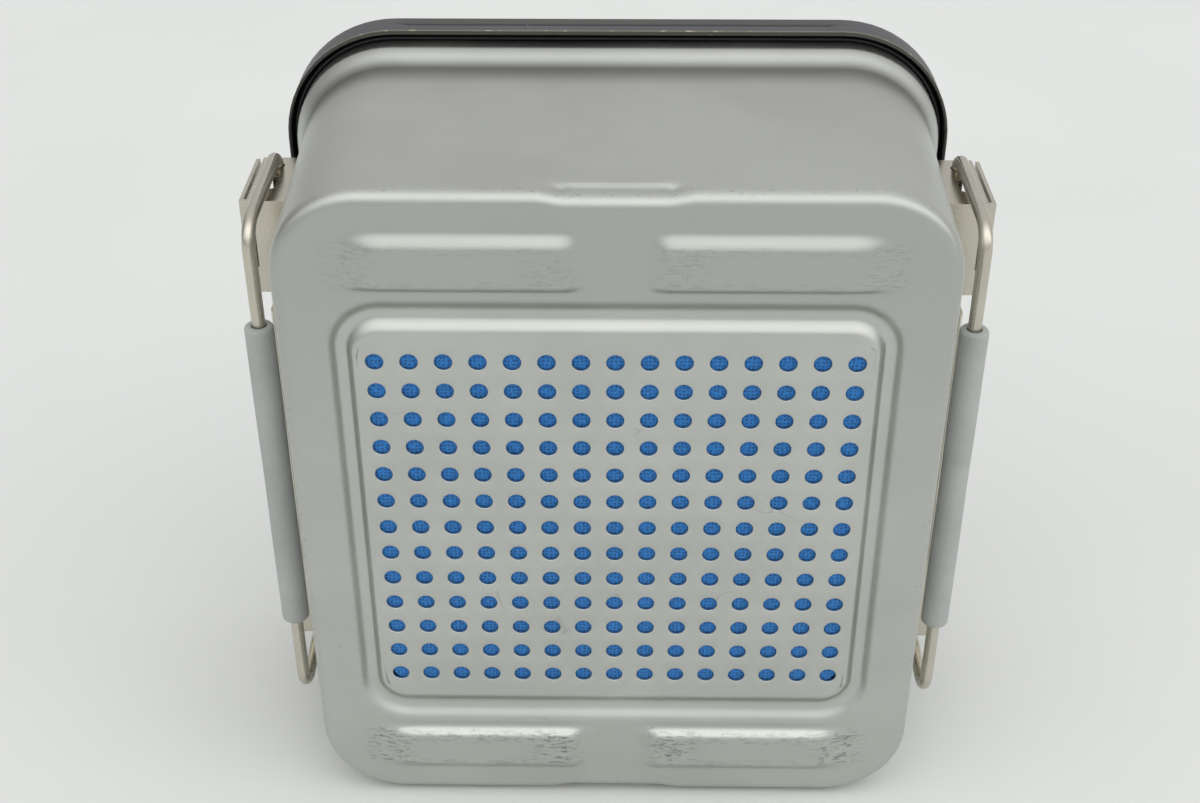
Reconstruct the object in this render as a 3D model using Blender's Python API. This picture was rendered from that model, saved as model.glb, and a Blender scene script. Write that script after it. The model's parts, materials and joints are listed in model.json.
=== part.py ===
"""Half-length rigid sterilisation container, standing on one long side wall.

Everything is modelled in the container's own axes (x across the handles, y along the
length, z from the outer face of the bottom plate up to the lid) and then parented to one
empty, which lays the container on its side so that it rests on the lid's skirt and on the
bottom edge.  All lengths are in metres.
"""
import math

import bmesh
import bpy
from mathutils import Matrix, Vector

# ---------------------------------------------------------------- driving dimensions
PITCH = 0.012                 # spacing of the perforations
HOLE_COLUMNS, HOLE_ROWS = 15, 13
HOLE_RADIUS = 0.0032
GAP = 0.0003                  # play between pieces that touch

SHEET = 0.0012                # wall of the base and of the lid
HALF_X, HALF_Y = 0.118, 0.137     # outside of the wall just above the bottom edge
CORNER_RADIUS = 0.0325
EDGE_RADIUS = 0.0055
DRAFT = 0.03                  # widening of the wall for each metre of height
FLARE_START, FLARE_END = 0.1005, 0.1105
FLARE_CURVE = ((0.0, 0.0), (0.12, 0.28), (0.5, 0.52), (0.88, 0.78), (1.0, 1.0))   # outward, upward
FLANGE_OFFSET = 0.0072        # the rim stands this far outside HALF_X and HALF_Y
RIM_Z = 0.121

PANEL_EDGE, GROOVE_EDGE = (0.0908, 0.0830), (0.1006, 0.0974)   # half sizes of the channel's two edges
GROOVE_FLOOR = ((0.0942, 0.0894), (0.0968, 0.0908))
GROOVE_RADII = (0.0095, 0.0130, 0.0155, 0.0200)                # corner radii from the inner edge out
GROOVE_DEPTH = 0.0034
NOTCH_HALF, NOTCH_RAMP = 0.017, 0.010
NOTCH_DEPTH, NOTCH_TOP, NOTCH_SLOPE = 0.0015, 0.0085, 0.001
PAD_X = ((0.0115, 0.0225), (0.0970, 0.0765))   # foot and top of a pad's inner and outer end
PAD_Y = ((0.0996, 0.1050), (0.1238, 0.1182))
PAD_HEIGHT, PAD_SUNK = 0.0036, 0.0004

LID_OFFSET = 0.0115           # outside of the skirt, beyond HALF_X and HALF_Y
SKIRT_Z, LID_TOP = 0.1142, 0.132
SHOULDER_RADIUS = 0.0035
LID_STEP, LID_STEP_RUN, LID_PANEL_Z = -0.0005, 0.004, 0.128
LID_FIELD, FIELD_RADIUS = (0.078, 0.066), 0.012    # inside the bead round the lid's perforations
BEAD_WIDTH, BEAD_HEIGHT = 0.006, 0.002
BEAD_CURVE = ((2.0, 0.0), (1.5, 1.0), (0.8, 1.0), (0.3, 0.0))   # outward, upward
LID_COLUMNS, LID_ROWS = 11, 9
SEAL_X, SEAL_LIP_GAP, SEAL_SKIRT_GAP, SEAL_LIP_Z = 0.0030, 0.0004, 0.0013, 0.002
SEAL_TAPER, SEAL_CUT, SHOULDER_CUT = 0.0002, 0.002, 0.0008

BRACKET_Y = (0.0654, 0.1038)
BRACKET_Z = (0.061, 0.0984)
BRACKET_X = (0.1214, 0.1392)
BRACKET_SHEET = 0.0015
FOLD_RELIEF = 0.0012          # free slit between an ear and the outer plate
FLANGE_START, FLANGE_TOP = 0.0005, 0.001
BRACKET_CUT_X, BRACKET_CUT_Y, BRACKET_CUT_DEPTH = 0.1344, (0.0762, 0.0936), 0.005
SLOT_X, SLOT_Z, SLOT_RADIUS = 0.1292, (0.0725, 0.0805), 0.0013
PIVOT_X, PIVOT_Z = 0.130, 0.0912
ROD_RADIUS, PIVOT_PLAY = 0.0025, 0.0004
ROD_ARM_Y, ROD_RUN_Z, ROD_END_Y = 0.1086, 0.030, 0.090
ROD_END_BEND, ROD_CORNER = 0.006, 0.010
GRIP_RADIUS, GRIP_HALF, GRIP_EDGE = 0.0054, 0.069, 0.0012
NUT_RADIUS, NUT_WIDTH, NUT_GAP = 0.0050, 0.0012, 0.0005

BRACKET_RIVET_Y, BRACKET_RIVET_Z = (0.0745, 0.0945), 0.077
CATCH_RIVET_Y, CATCH_RIVET_Z = 0.036, 0.071
LID_RIVET_Y, LID_RIVET_Z = 0.054, 0.1175
RIVET_HOLE, LID_RIVET_HOLE = 0.0024, 0.0016
# Rivet sections as (radius, height beyond the seat)
RIVET_TAIL = ((0.0, -0.0012), (0.0032, -0.0010), (0.0034, 0.0))
RIVET_SHANK = 0.0020
RIVET_HEAD = ((0.0038, 0.0), (0.0034, 0.0012), (0.0, 0.0016))
LID_RIVET_TAIL = ((0.0, -0.0006), (0.0024, -0.0005), (0.0025, 0.0))
LID_RIVET_SHANK = 0.0013
LID_RIVET_HEAD = ((0.0024, 0.0), (0.0020, 0.0008), (0.0, 0.0010))
TAIL_GAP = 0.0005

LATCH_HALF, LATCH_NECK = 0.063, 0.045
LATCH_SHEET = 0.0015
HINGE_X, HINGE_Z, HINGE_RADIUS = 0.1337, 0.123, 0.003
PIN_RADIUS, PIN_HALF = 0.0014, 0.0605
LATCH_LIP_X, LATCH_LIP_Z = 0.1242, 0.050
# Outside of the latch plate as (x, z) from the hinge, above its lip
LATCH_OUTLINE = ((0.0028, -0.0115), (0.0028, -0.0135), (-0.0036, -0.0200), (-0.0036, -0.0710),
                 (-0.0046, -0.0728))
LATCH_FOLD = 0.002            # the inside of the last fold stands this much higher
NECK_X, NECK_Z = (0.0010, 0.0027), -0.013
KNUCKLE_END, KNUCKLE_GAP = 0.0612, 0.0006
HINGE_SHEET, HINGE_PLATE_Z, TIE_Z = 0.0012, 0.1150, (0.1152, 0.1198)
KNUCKLE_REACH = (-0.0022, 0.0024)
CATCH_HALF, CATCH_Z = 0.050, (0.054, 0.084)
CATCH_X, CATCH_LIP_X = 0.1208, 0.1239

BASE_FILTER, LID_FILTER = (0.0888, 0.0795), (0.078, 0.068)
FILTER_THICKNESS, FILTER_CORNER = 0.0006, 0.014
RETAINER_PAN, PAN_SLOPE = (0.089, 0.078), 0.002
RETAINER_FLANGE = (0.104, 0.1005)
RETAINER_RADII = (0.008, 0.010, 0.018, 0.018, 0.009, 0.007)
RETAINER_SHEET = 0.001
RETAINER_PAN_Z, RETAINER_FLANGE_Z = 0.0024, 0.0050
LID_RETAINER, LID_RETAINER_RADIUS = (0.082, 0.072), 0.010
LID_RETAINER_Z = 0.1246
WINDOW_RIB = 0.007
BASE_WINDOWS, BASE_WINDOW_FIELD = (5, 4), (0.077, 0.066)
LID_WINDOWS, LID_WINDOW_FIELD = (5, 3), (0.066, 0.054)
BOLT_HALF, BOLT_LENGTH, BOLT_SHEET, BOLT_TAB = 0.009, 0.030, 0.0014, 0.009
BASE_BOLT_Y, LID_BOLT_Y = 0.080, 0.053
BOLT_ENGAGE, GUIDE_LENGTH, GUIDE_SHEET = 0.005, 0.006, 0.001
GUIDE_FOOT, BASE_GUIDE_Y, LID_GUIDE_Y = 0.007, 0.088, 0.060
LUG_SHEET, LUG_LIP, LUG_FOOT = 0.0012, 0.008, 0.009
OVERCUT = 0.001               # reach of a cutter beyond the face it cuts
WELD = 0.0001                 # overlap of two solids that are joined

STEEL = (0.62, 0.60, 0.54)
ALUMINIUM = (0.62, 0.63, 0.61)


# ---------------------------------------------------------------- helpers
def clear_scene():
    for old in list(bpy.data.objects):
        bpy.data.objects.remove(old, do_unlink=True)


def material(name, colour, roughness, metallic):
    made = bpy.data.materials.new(name)
    made.use_nodes = True
    shader = made.node_tree.nodes["Principled BSDF"]
    shader.inputs["Base Color"].default_value = (*colour, 1.0)
    shader.inputs["Roughness"].default_value = roughness
    shader.inputs["Metallic"].default_value = metallic
    return made


def add_object(name, bm, parent, finish):
    bmesh.ops.recalc_face_normals(bm, faces=bm.faces)
    mesh = bpy.data.meshes.new(name)
    bm.to_mesh(mesh)
    bm.free()
    made = bpy.data.objects.new(name, mesh)
    bpy.context.scene.collection.objects.link(made)
    made.parent = parent
    if finish is not None:
        mesh.materials.append(finish)
    return made


def add_cutter(name, bm, parent):
    cutter = add_object(name, bm, parent, None)
    cutter.hide_render = True
    cutter.display_type = "WIRE"
    return cutter


def boolean(target, cutter, operation):
    step = target.modifiers.new(operation.lower(), "BOOLEAN")
    step.operation = operation
    step.solver = "EXACT"
    step.object = cutter


def smooth(target, degrees=40.0):
    target.data.shade_smooth()
    target.data.set_sharp_from_angle(angle=math.radians(degrees))


def add_box(bm, low, high):
    """A closed box between two corners."""
    centre = [(a + b) / 2.0 for a, b in zip(low, high)]
    size = [abs(b - a) for a, b in zip(low, high)]
    place = Matrix.Translation(centre) @ Matrix.Diagonal((*size, 1.0))
    return bmesh.ops.create_cube(bm, size=1.0, matrix=place)["verts"]


def add_prism(bm, outline, low, high, axis):
    """Extrude a closed 2-D outline along one axis, from low to high."""
    def point(pair, level):
        place = list(pair)
        place.insert(axis, level)
        return place
    bottom = [bm.verts.new(point(pair, low)) for pair in outline]
    top = [bm.verts.new(point(pair, high)) for pair in outline]
    bm.faces.new(bottom)
    bm.faces.new(top)
    for i in range(len(outline)):
        j = (i + 1) % len(outline)
        bm.faces.new((bottom[i], bottom[j], top[j], top[i]))
    return bottom + top


def circle(centre, radius, sides, turn=0.0):
    return [(centre[0] + radius * math.cos(turn + 2.0 * math.pi * i / sides),
             centre[1] + radius * math.sin(turn + 2.0 * math.pi * i / sides))
            for i in range(sides)]


def arc(centre, radius, start, end, steps):
    return [(centre[0] + radius * math.cos(start + (end - start) * i / steps),
             centre[1] + radius * math.sin(start + (end - start) * i / steps))
            for i in range(steps + 1)]


def box_outline(low, high):
    return [(low[0], low[1]), (high[0], low[1]), (high[0], high[1]), (low[0], high[1])]


def turned(bm, profile, sides, axis, centre):
    """Turn a closed (radius, height) profile round an axis through centre."""
    rings = []
    for i in range(sides):
        angle = 2.0 * math.pi * i / sides
        ring = []
        for radius, height in profile:
            place = [radius * math.cos(angle), radius * math.sin(angle)]
            place.insert(axis, height)
            ring.append(bm.verts.new(Vector(place) + Vector(centre)))
        rings.append(ring)
    for i in range(sides):
        near, far = rings[i], rings[(i + 1) % sides]
        for j in range(len(profile)):
            k = (j + 1) % len(profile)
            bm.faces.new((near[j], near[k], far[k], far[j]))
    bmesh.ops.remove_doubles(bm, verts=bm.verts, dist=1e-7)


def plan_loop(half_x, half_y, radius, z, notch=0.0, steps=5):
    """Rounded rectangle at height z, with a shallow dent in the middle of each y side."""
    loop = []
    for turn, sx, sy in ((0.0, 1, 1), (0.5, -1, 1), (1.0, -1, -1), (1.5, 1, -1)):
        for i in range(steps + 1):
            angle = math.pi * (turn + 0.5 * i / steps)
            loop.append((sx * (half_x - radius) + radius * math.cos(angle),
                         sy * (half_y - radius) + radius * math.sin(angle), z))
        if turn in (0.0, 1.0):
            for x, dent in ((NOTCH_HALF + NOTCH_RAMP, 0.0), (NOTCH_HALF, notch),
                            (-NOTCH_HALF, notch), (-NOTCH_HALF - NOTCH_RAMP, 0.0)):
                loop.append((sx * x, sy * (half_y - dent), z))
    return loop


def bridge(bm, near, far):
    for i in range(len(near)):
        j = (i + 1) % len(near)
        bm.faces.new((near[i], near[j], far[j], far[i]))


def loft(bm, loops):
    """Join loops of equal length into one closed skin, with a face over each end."""
    rings = [[bm.verts.new(point) for point in loop] for loop in loops]
    for near, far in zip(rings, rings[1:]):
        bridge(bm, near, far)
    bm.faces.new(rings[0])
    bm.faces.new(rings[-1])


def offset_loop(offset, z, notch=0.0):
    """Plan outline of the container, moved outward by offset."""
    return plan_loop(HALF_X + offset, HALF_Y + offset, CORNER_RADIUS + offset, z, notch)


def rounding(steps, start, radius, centre_offset, centre_z):
    """Points (offset, z) on a quarter circle that opens downward and outward."""
    return [(centre_offset + radius * math.cos(start + 0.5 * math.pi * i / steps),
             centre_z + radius * math.sin(start + 0.5 * math.pi * i / steps))
            for i in range(steps + 1)]


def wall_offset(z):
    return DRAFT * (z - EDGE_RADIUS)


# ---------------------------------------------------------------- base
def base_profile():
    """Outer skin as (offset, z, dent) from the bottom edge up to the rim."""
    points = [(offset, z, NOTCH_DEPTH) for offset, z in
              rounding(3, -0.5 * math.pi, EDGE_RADIUS, -EDGE_RADIUS, EDGE_RADIUS)]
    for z, dent in ((NOTCH_TOP - NOTCH_SLOPE, NOTCH_DEPTH), (NOTCH_TOP + NOTCH_SLOPE, 0.0)):
        points.append((wall_offset(z), z, dent))
    start = wall_offset(FLARE_START)
    height = FLARE_END - FLARE_START
    for share, rise in FLARE_CURVE:
        points.append((start + share * (FLANGE_OFFSET - start), FLARE_START + rise * height, 0.0))
    points.append((FLANGE_OFFSET, RIM_Z, 0.0))
    return points


def hole_grid(bm, columns, rows, low, high, sides=6):
    for column in range(columns):
        for row in range(rows):
            centre = (PITCH * (column - (columns - 1) / 2.0), PITCH * (row - (rows - 1) / 2.0))
            add_prism(bm, circle(centre, HOLE_RADIUS, sides), low, high, 2)


def pad_cap(bm, sx, sy):
    """One foot pad: a low block with sloping sides, sunk a little into the plate."""
    (foot_in, top_in), (foot_out, top_out) = PAD_X
    (foot_low, top_low), (foot_high, top_high) = PAD_Y
    foot = box_outline((foot_in, foot_low), (foot_out, foot_high))
    top = box_outline((top_in, top_low), (top_out, top_high))
    loft(bm, [[(sx * x, sy * y, z) for x, y in outline]
              for outline, z in ((foot, PAD_SUNK), (foot, 0.0), (top, -PAD_HEIGHT))])


def rivet_places():
    """Side, centre (y, z) and kind of every wall rivet, by node name."""
    places = {}
    for side, sx in (("left", -1), ("right", 1)):
        for end, sy in (("upper", -1), ("lower", 1)):
            for number, y in enumerate(BRACKET_RIVET_Y, 1):
                places[f"bracket_rivet_{side}_{end}_{number}"] = (sx, sy * y, BRACKET_RIVET_Z, "bracket")
            places[f"catch_rivet_{side}_{end}"] = (sx, sy * CATCH_RIVET_Y, CATCH_RIVET_Z, "catch")
    return places


def channel_loops(level, grow):
    """Loops down into the channel round the panel and up again, from the panel outward."""
    sizes = (PANEL_EDGE, *GROOVE_FLOOR, GROOVE_EDGE)
    heights = (level, GROOVE_DEPTH + level, GROOVE_DEPTH + level, level)
    return [plan_loop(half[0] + step, half[1] + step, radius, z)
            for half, radius, z, step in zip(sizes, GROOVE_RADII, heights, (-grow, -grow, grow, grow))]


def make_base_shell(parent, finish):
    outer = base_profile()
    inner = [(offset - SHEET, z + (SHEET if z < EDGE_RADIUS else 0.0), dent)
             for offset, z, dent in outer]
    inner[0] = (inner[0][0] + SHEET, SHEET, inner[0][2])
    skin = channel_loops(0.0, 0.0) + [offset_loop(*point) for point in outer]
    skin += [offset_loop(*point) for point in reversed(inner)] + channel_loops(SHEET, SHEET)[::-1]
    bm = bmesh.new()
    loft(bm, skin)
    shell = add_object("base_shell", bm, parent, finish)

    bm = bmesh.new()
    for sx in (-1, 1):
        for sy in (-1, 1):
            pad_cap(bm, sx, sy)
    boolean(shell, add_cutter("foot_pads", bm, parent), "UNION")

    bm = bmesh.new()
    hole_grid(bm, HOLE_COLUMNS, HOLE_ROWS, -OVERCUT, SHEET + OVERCUT)
    boolean(shell, add_cutter("perforation_cutter", bm, parent), "DIFFERENCE")
    bm = bmesh.new()
    reach = (HALF_X - SHEET - OVERCUT, HALF_X + wall_offset(FLARE_START) + OVERCUT)
    for sx, y, z, _ in rivet_places().values():
        ends = sorted((sx * reach[0], sx * reach[1]))
        add_prism(bm, circle((y, z), RIVET_HOLE, 8), ends[0], ends[1], 0)
    boolean(shell, add_cutter("rivet_hole_cutter", bm, parent), "DIFFERENCE")


def add_rivet(name, sx, y, z, profile, parent, finish):
    bm = bmesh.new()
    turned(bm, [(radius, sx * x) for radius, x in profile], 8, 0, (0.0, y, z))
    smooth(add_object(name, bm, parent, finish))


def make_wall_rivets(parent, finish):
    """Flanged rivets through the wall: shank, outside head and inside head in one."""
    outside = {"bracket": BRACKET_X[0] + BRACKET_SHEET, "catch": CATCH_X + BRACKET_SHEET}
    for name, (sx, y, z, kind) in rivet_places().items():
        seat = outside[kind] + GAP
        inside = HALF_X + wall_offset(z) - SHEET - TAIL_GAP
        profile = [(radius, inside + rise) for radius, rise in RIVET_TAIL]
        profile += [(RIVET_SHANK, inside), (RIVET_SHANK, seat)]
        profile += [(radius, seat + rise) for radius, rise in RIVET_HEAD]
        add_rivet(name, sx, y, z, profile, parent, finish)


def mirrored(bm, sx, sy):
    """Turn a shape modelled for the right lower corner to another corner."""
    for vert in bm.verts:
        vert.co = (sx * vert.co.x, sy * vert.co.y, vert.co.z)
    bmesh.ops.recalc_face_normals(bm, faces=bm.faces)
    return bm


def make_bracket(name, sx, sy, parent, finish):
    """Folded steel bracket: back plate, two ears, near flange and an outer plate."""
    x0, x1 = BRACKET_X
    y0, y1 = BRACKET_Y
    z0, z1 = BRACKET_Z
    t = BRACKET_SHEET
    ear_end = x1 - t - FOLD_RELIEF
    section = [(x0, y0), (ear_end, y0), (ear_end, y0 + t), (x0 + t, y0 + t),
               (x0 + t, y1 - t), (ear_end, y1 - t), (ear_end, y1), (x0, y1)]
    bm = bmesh.new()
    add_prism(bm, section, z0, z1, 2)
    bracket = add_object(name, mirrored(bm, sx, sy), parent, finish)

    start, top = x0 + FLANGE_START, z1 - FLANGE_TOP
    flange = [(start, z0 - WELD), (x1, z0 - WELD), (x1, top), (x1 - t, top), (x1 - t, z0 + t),
              (start, z0 + t)]
    bm = bmesh.new()
    add_prism(bm, flange, y0 + WELD, y1 - WELD, 1)
    boolean(bracket, add_cutter(name + "_flange", mirrored(bm, sx, sy), parent), "UNION")

    bm = bmesh.new()
    add_box(bm, (BRACKET_CUT_X, BRACKET_CUT_Y[0], z0 - OVERCUT),
            (x1 + OVERCUT, BRACKET_CUT_Y[1], z0 + BRACKET_CUT_DEPTH))
    for y in BRACKET_RIVET_Y:
        add_prism(bm, circle((y, BRACKET_RIVET_Z), RIVET_HOLE, 8), x0 - OVERCUT, x0 + t + OVERCUT, 0)
    ear = (y1 - t - OVERCUT, y1 + OVERCUT)
    add_prism(bm, circle((PIVOT_X, PIVOT_Z), ROD_RADIUS + PIVOT_PLAY, 12), *ear, 1)
    slot = arc((SLOT_X, SLOT_Z[1]), SLOT_RADIUS, 0.0, math.pi, 4)
    slot += arc((SLOT_X, SLOT_Z[0]), SLOT_RADIUS, math.pi, 2.0 * math.pi, 4)
    add_prism(bm, slot, *ear, 1)
    boolean(bracket, add_cutter(name + "_holes", mirrored(bm, sx, sy), parent), "DIFFERENCE")


def make_catch(name, sx, parent, finish):
    """Angle plate on the wall; the latch closes over its out-turned lower edge."""
    z0, z1 = CATCH_Z
    t = BRACKET_SHEET
    section = [(CATCH_X, z0), (CATCH_LIP_X, z0), (CATCH_LIP_X, z0 + t), (CATCH_X + t, z0 + 2 * t),
               (CATCH_X + t, z1), (CATCH_X, z1)]
    bm = bmesh.new()
    add_prism(bm, [(sx * x, z) for x, z in section], -CATCH_HALF, CATCH_HALF, 1)
    catch = add_object(name, bm, parent, finish)
    bm = bmesh.new()
    ends = sorted((sx * (CATCH_X - OVERCUT), sx * (CATCH_X + t + OVERCUT)))
    for y in (-CATCH_RIVET_Y, CATCH_RIVET_Y):
        add_prism(bm, circle((y, CATCH_RIVET_Z), RIVET_HOLE, 8), ends[0], ends[1], 0)
    boolean(catch, add_cutter(name + "_holes", bm, parent), "DIFFERENCE")


# ---------------------------------------------------------------- filters and retainers
def window_grid(bm, half, columns, rows, rib, low, high):
    """Rectangular windows filling a rectangle of the given half sizes."""
    width = (2.0 * half[0] - rib * (columns - 1)) / columns
    height = (2.0 * half[1] - rib * (rows - 1)) / rows
    for i in range(columns):
        for j in range(rows):
            x = -half[0] + i * (width + rib)
            y = -half[1] + j * (height + rib)
            add_box(bm, (x, y, low), (x + width, y + height, high))


def make_filter(name, half, z, parent, finish):
    bm = bmesh.new()
    loft(bm, [plan_loop(half[0], half[1], FILTER_CORNER, level, 0.0, 3)
              for level in (z, z + FILTER_THICKNESS)])
    add_object(name, bm, parent, finish)


def make_base_retainer(parent, finish):
    pan, flange = RETAINER_PAN, RETAINER_FLANGE
    low, high, t = RETAINER_PAN_Z, RETAINER_FLANGE_Z, RETAINER_SHEET
    section = ((pan, -PAN_SLOPE, low), (pan, 0.0, high), (flange, 0.0, high),
               (flange, 0.0, high + t), (pan, -t, high + t), (pan, -PAN_SLOPE - t, low + t))
    bm = bmesh.new()
    loft(bm, [plan_loop(half[0] + grow, half[1] + grow, radius, z)
              for (half, grow, z), radius in zip(section, RETAINER_RADII)])
    plate = add_object("base_filter_retainer", bm, parent, finish)
    bm = bmesh.new()
    window_grid(bm, BASE_WINDOW_FIELD, *BASE_WINDOWS, WINDOW_RIB, low - OVERCUT, low + t + OVERCUT)
    boolean(plate, add_cutter("base_retainer_windows", bm, parent), "DIFFERENCE")


def make_lid_retainer(parent, finish):
    half, z, top = LID_RETAINER, LID_RETAINER_Z, LID_RETAINER_Z + RETAINER_SHEET
    bm = bmesh.new()
    loft(bm, [plan_loop(half[0], half[1], LID_RETAINER_RADIUS, level) for level in (z, top)])
    plate = add_object("lid_filter_retainer", bm, parent, finish)
    bm = bmesh.new()
    window_grid(bm, LID_WINDOW_FIELD, *LID_WINDOWS, WINDOW_RIB, z - OVERCUT, top + OVERCUT)
    boolean(plate, add_cutter("lid_retainer_windows", bm, parent), "DIFFERENCE")


def make_bolt(name, sy, reach, levels, tab_z, parent, finish):
    """Sliding bolt: a flat bar with an upturned finger tab at its inner end."""
    inner, outer = reach
    tab = sorted((0.5 * (levels[0] + levels[1]), tab_z))
    bm = bmesh.new()
    add_box(bm, (-BOLT_HALF, sy * inner, levels[0]), (BOLT_HALF, sy * outer, levels[1]))
    bolt = add_object(name, bm, parent, finish)
    bm = bmesh.new()
    near, far = sorted((sy * (inner + GAP), sy * (inner + GAP + BOLT_SHEET)))
    add_box(bm, (GAP - BOLT_HALF, near, tab[0]), (BOLT_HALF - GAP, far, tab[1]))
    boolean(bolt, add_cutter(name + "_tab", bm, parent), "UNION")


def make_guide(name, sy, y, plate_z, bolt_z, up, parent, finish):
    """Strap over a bolt; its two feet stand on the retainer plate."""
    inside, outside, foot = BOLT_HALF + GAP, BOLT_HALF + GAP + GUIDE_SHEET, BOLT_HALF + GUIDE_FOOT
    low, roof = plate_z + up * GAP, bolt_z + up * GAP
    section = [(foot, low), (foot, low + up * GUIDE_SHEET), (outside, low + up * GUIDE_SHEET),
               (outside, roof + up * GUIDE_SHEET)]
    section = section + [(-x, z) for x, z in reversed(section)]
    section += [(-inside, low), (-inside, roof), (inside, roof), (inside, low)]
    bm = bmesh.new()
    ends = sorted((sy * y, sy * (y + GUIDE_LENGTH)))
    add_prism(bm, section, ends[0], ends[1], 1)
    add_object(name, bm, parent, finish)


def make_lug(name, sy, lip_y, bolt_z, foot_z, up, parent, finish):
    """Folded lug: its foot is fixed to the shell and its lip reaches over the bolt's end."""
    t = LUG_SHEET
    lip, foot = bolt_z + up * GAP, foot_z + up * GAP
    riser = lip_y + LUG_LIP
    outline = [(lip_y, lip), (lip_y, lip + up * t), (riser + t, lip + up * t), (riser + t, foot + up * t),
               (riser + LUG_FOOT, foot + up * t), (riser + LUG_FOOT, foot), (riser, foot), (riser, lip)]
    bm = bmesh.new()
    add_prism(bm, [(sy * y, z) for y, z in outline], -BOLT_HALF, BOLT_HALF, 0)
    add_object(name, bm, parent, finish)


def make_retainer_bolts(parent, finish):
    """Two bolts, guides and lugs for each retainer plate."""
    top = RETAINER_FLANGE_Z + RETAINER_SHEET
    for end, sy in (("upper", -1), ("lower", 1)):
        for place, plate_z, up, inner, guide_y, seat in (
                ("base", top, 1.0, BASE_BOLT_Y, BASE_GUIDE_Y, SHEET),
                ("lid", LID_RETAINER_Z, -1.0, LID_BOLT_Y, LID_GUIDE_Y, LID_PANEL_Z - SHEET)):
            levels = sorted((plate_z + up * GAP, plate_z + up * (GAP + BOLT_SHEET)))
            free_face = plate_z + up * (GAP + BOLT_SHEET)
            make_bolt(f"{place}_bolt_{end}", sy, (inner, inner + BOLT_LENGTH), levels,
                      plate_z + up * BOLT_TAB, parent, finish)
            make_guide(f"{place}_bolt_guide_{end}", sy, guide_y, plate_z, free_face, up, parent, finish)
            make_lug(f"{place}_lug_{end}", sy, inner + BOLT_LENGTH - BOLT_ENGAGE, free_face, seat, up,
                     parent, finish)


# ---------------------------------------------------------------- lid
def make_lid_shell(parent, finish):
    shoulder = rounding(2, 0.0, SHOULDER_RADIUS, LID_OFFSET - SHOULDER_RADIUS,
                        LID_TOP - SHOULDER_RADIUS)
    foot = LID_STEP - LID_STEP_RUN
    ridge = [(LID_OFFSET, SKIRT_Z)] + shoulder + [(LID_STEP, LID_TOP), (foot, LID_PANEL_Z)]
    t, cut = SHEET, SHOULDER_CUT
    under = [(LID_OFFSET - t, SKIRT_Z), (LID_OFFSET - t, LID_TOP - SHOULDER_RADIUS),
             (LID_OFFSET - t - cut, LID_TOP - t - cut), (LID_OFFSET - SHOULDER_RADIUS, LID_TOP - t),
             (LID_STEP + t, LID_TOP - t), (foot + 0.4 * t, LID_PANEL_Z - t)]
    bead = []
    for out, rise in BEAD_CURVE:
        grow = out * BEAD_WIDTH
        bead.append(plan_loop(LID_FIELD[0] + grow, LID_FIELD[1] + grow, FIELD_RADIUS + grow,
                              LID_PANEL_Z + rise * BEAD_HEIGHT))
    bm = bmesh.new()
    loft(bm, [offset_loop(offset, z) for offset, z in reversed(under)]
         + [offset_loop(offset, z) for offset, z in ridge] + bead)
    lid = add_object("lid_shell", bm, parent, finish)
    bm = bmesh.new()
    hole_grid(bm, LID_COLUMNS, LID_ROWS, LID_PANEL_Z - SHEET - OVERCUT, LID_PANEL_Z + OVERCUT)
    boolean(lid, add_cutter("lid_perforation_cutter", bm, parent), "DIFFERENCE")
    bm = bmesh.new()
    skirt = HALF_X + LID_OFFSET
    for sx in (-1, 1):
        ends = sorted((sx * (skirt - SHEET - OVERCUT), sx * (skirt + OVERCUT)))
        for y in (-LID_RIVET_Y, LID_RIVET_Y):
            add_prism(bm, circle((y, LID_RIVET_Z), LID_RIVET_HOLE, 8), ends[0], ends[1], 0)
    boolean(lid, add_cutter("lid_rivet_hole_cutter", bm, parent), "DIFFERENCE")


def make_gasket(parent, finish):
    """Seal above the rim, with a lip that hangs down between the rim and the skirt."""
    low, top = RIM_Z + GAP, LID_TOP - SHEET - GAP
    lip_in, lip_out = FLANGE_OFFSET + SEAL_LIP_GAP, LID_OFFSET - SHEET - SEAL_SKIRT_GAP
    lip_z = SKIRT_Z + SEAL_LIP_Z
    section = [(SEAL_X, low), (lip_in, low), (lip_in, lip_z), (lip_out, lip_z),
               (lip_out - SEAL_TAPER, LID_TOP - SHOULDER_RADIUS - OVERCUT), (lip_out - SEAL_CUT, top),
               (SEAL_X, top)]
    bm = bmesh.new()
    rings = [[bm.verts.new(point) for point in offset_loop(offset, z)] for offset, z in section]
    for near, far in zip(rings, rings[1:] + rings[:1]):
        bridge(bm, near, far)
    add_object("lid_gasket", bm, parent, finish)


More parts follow.
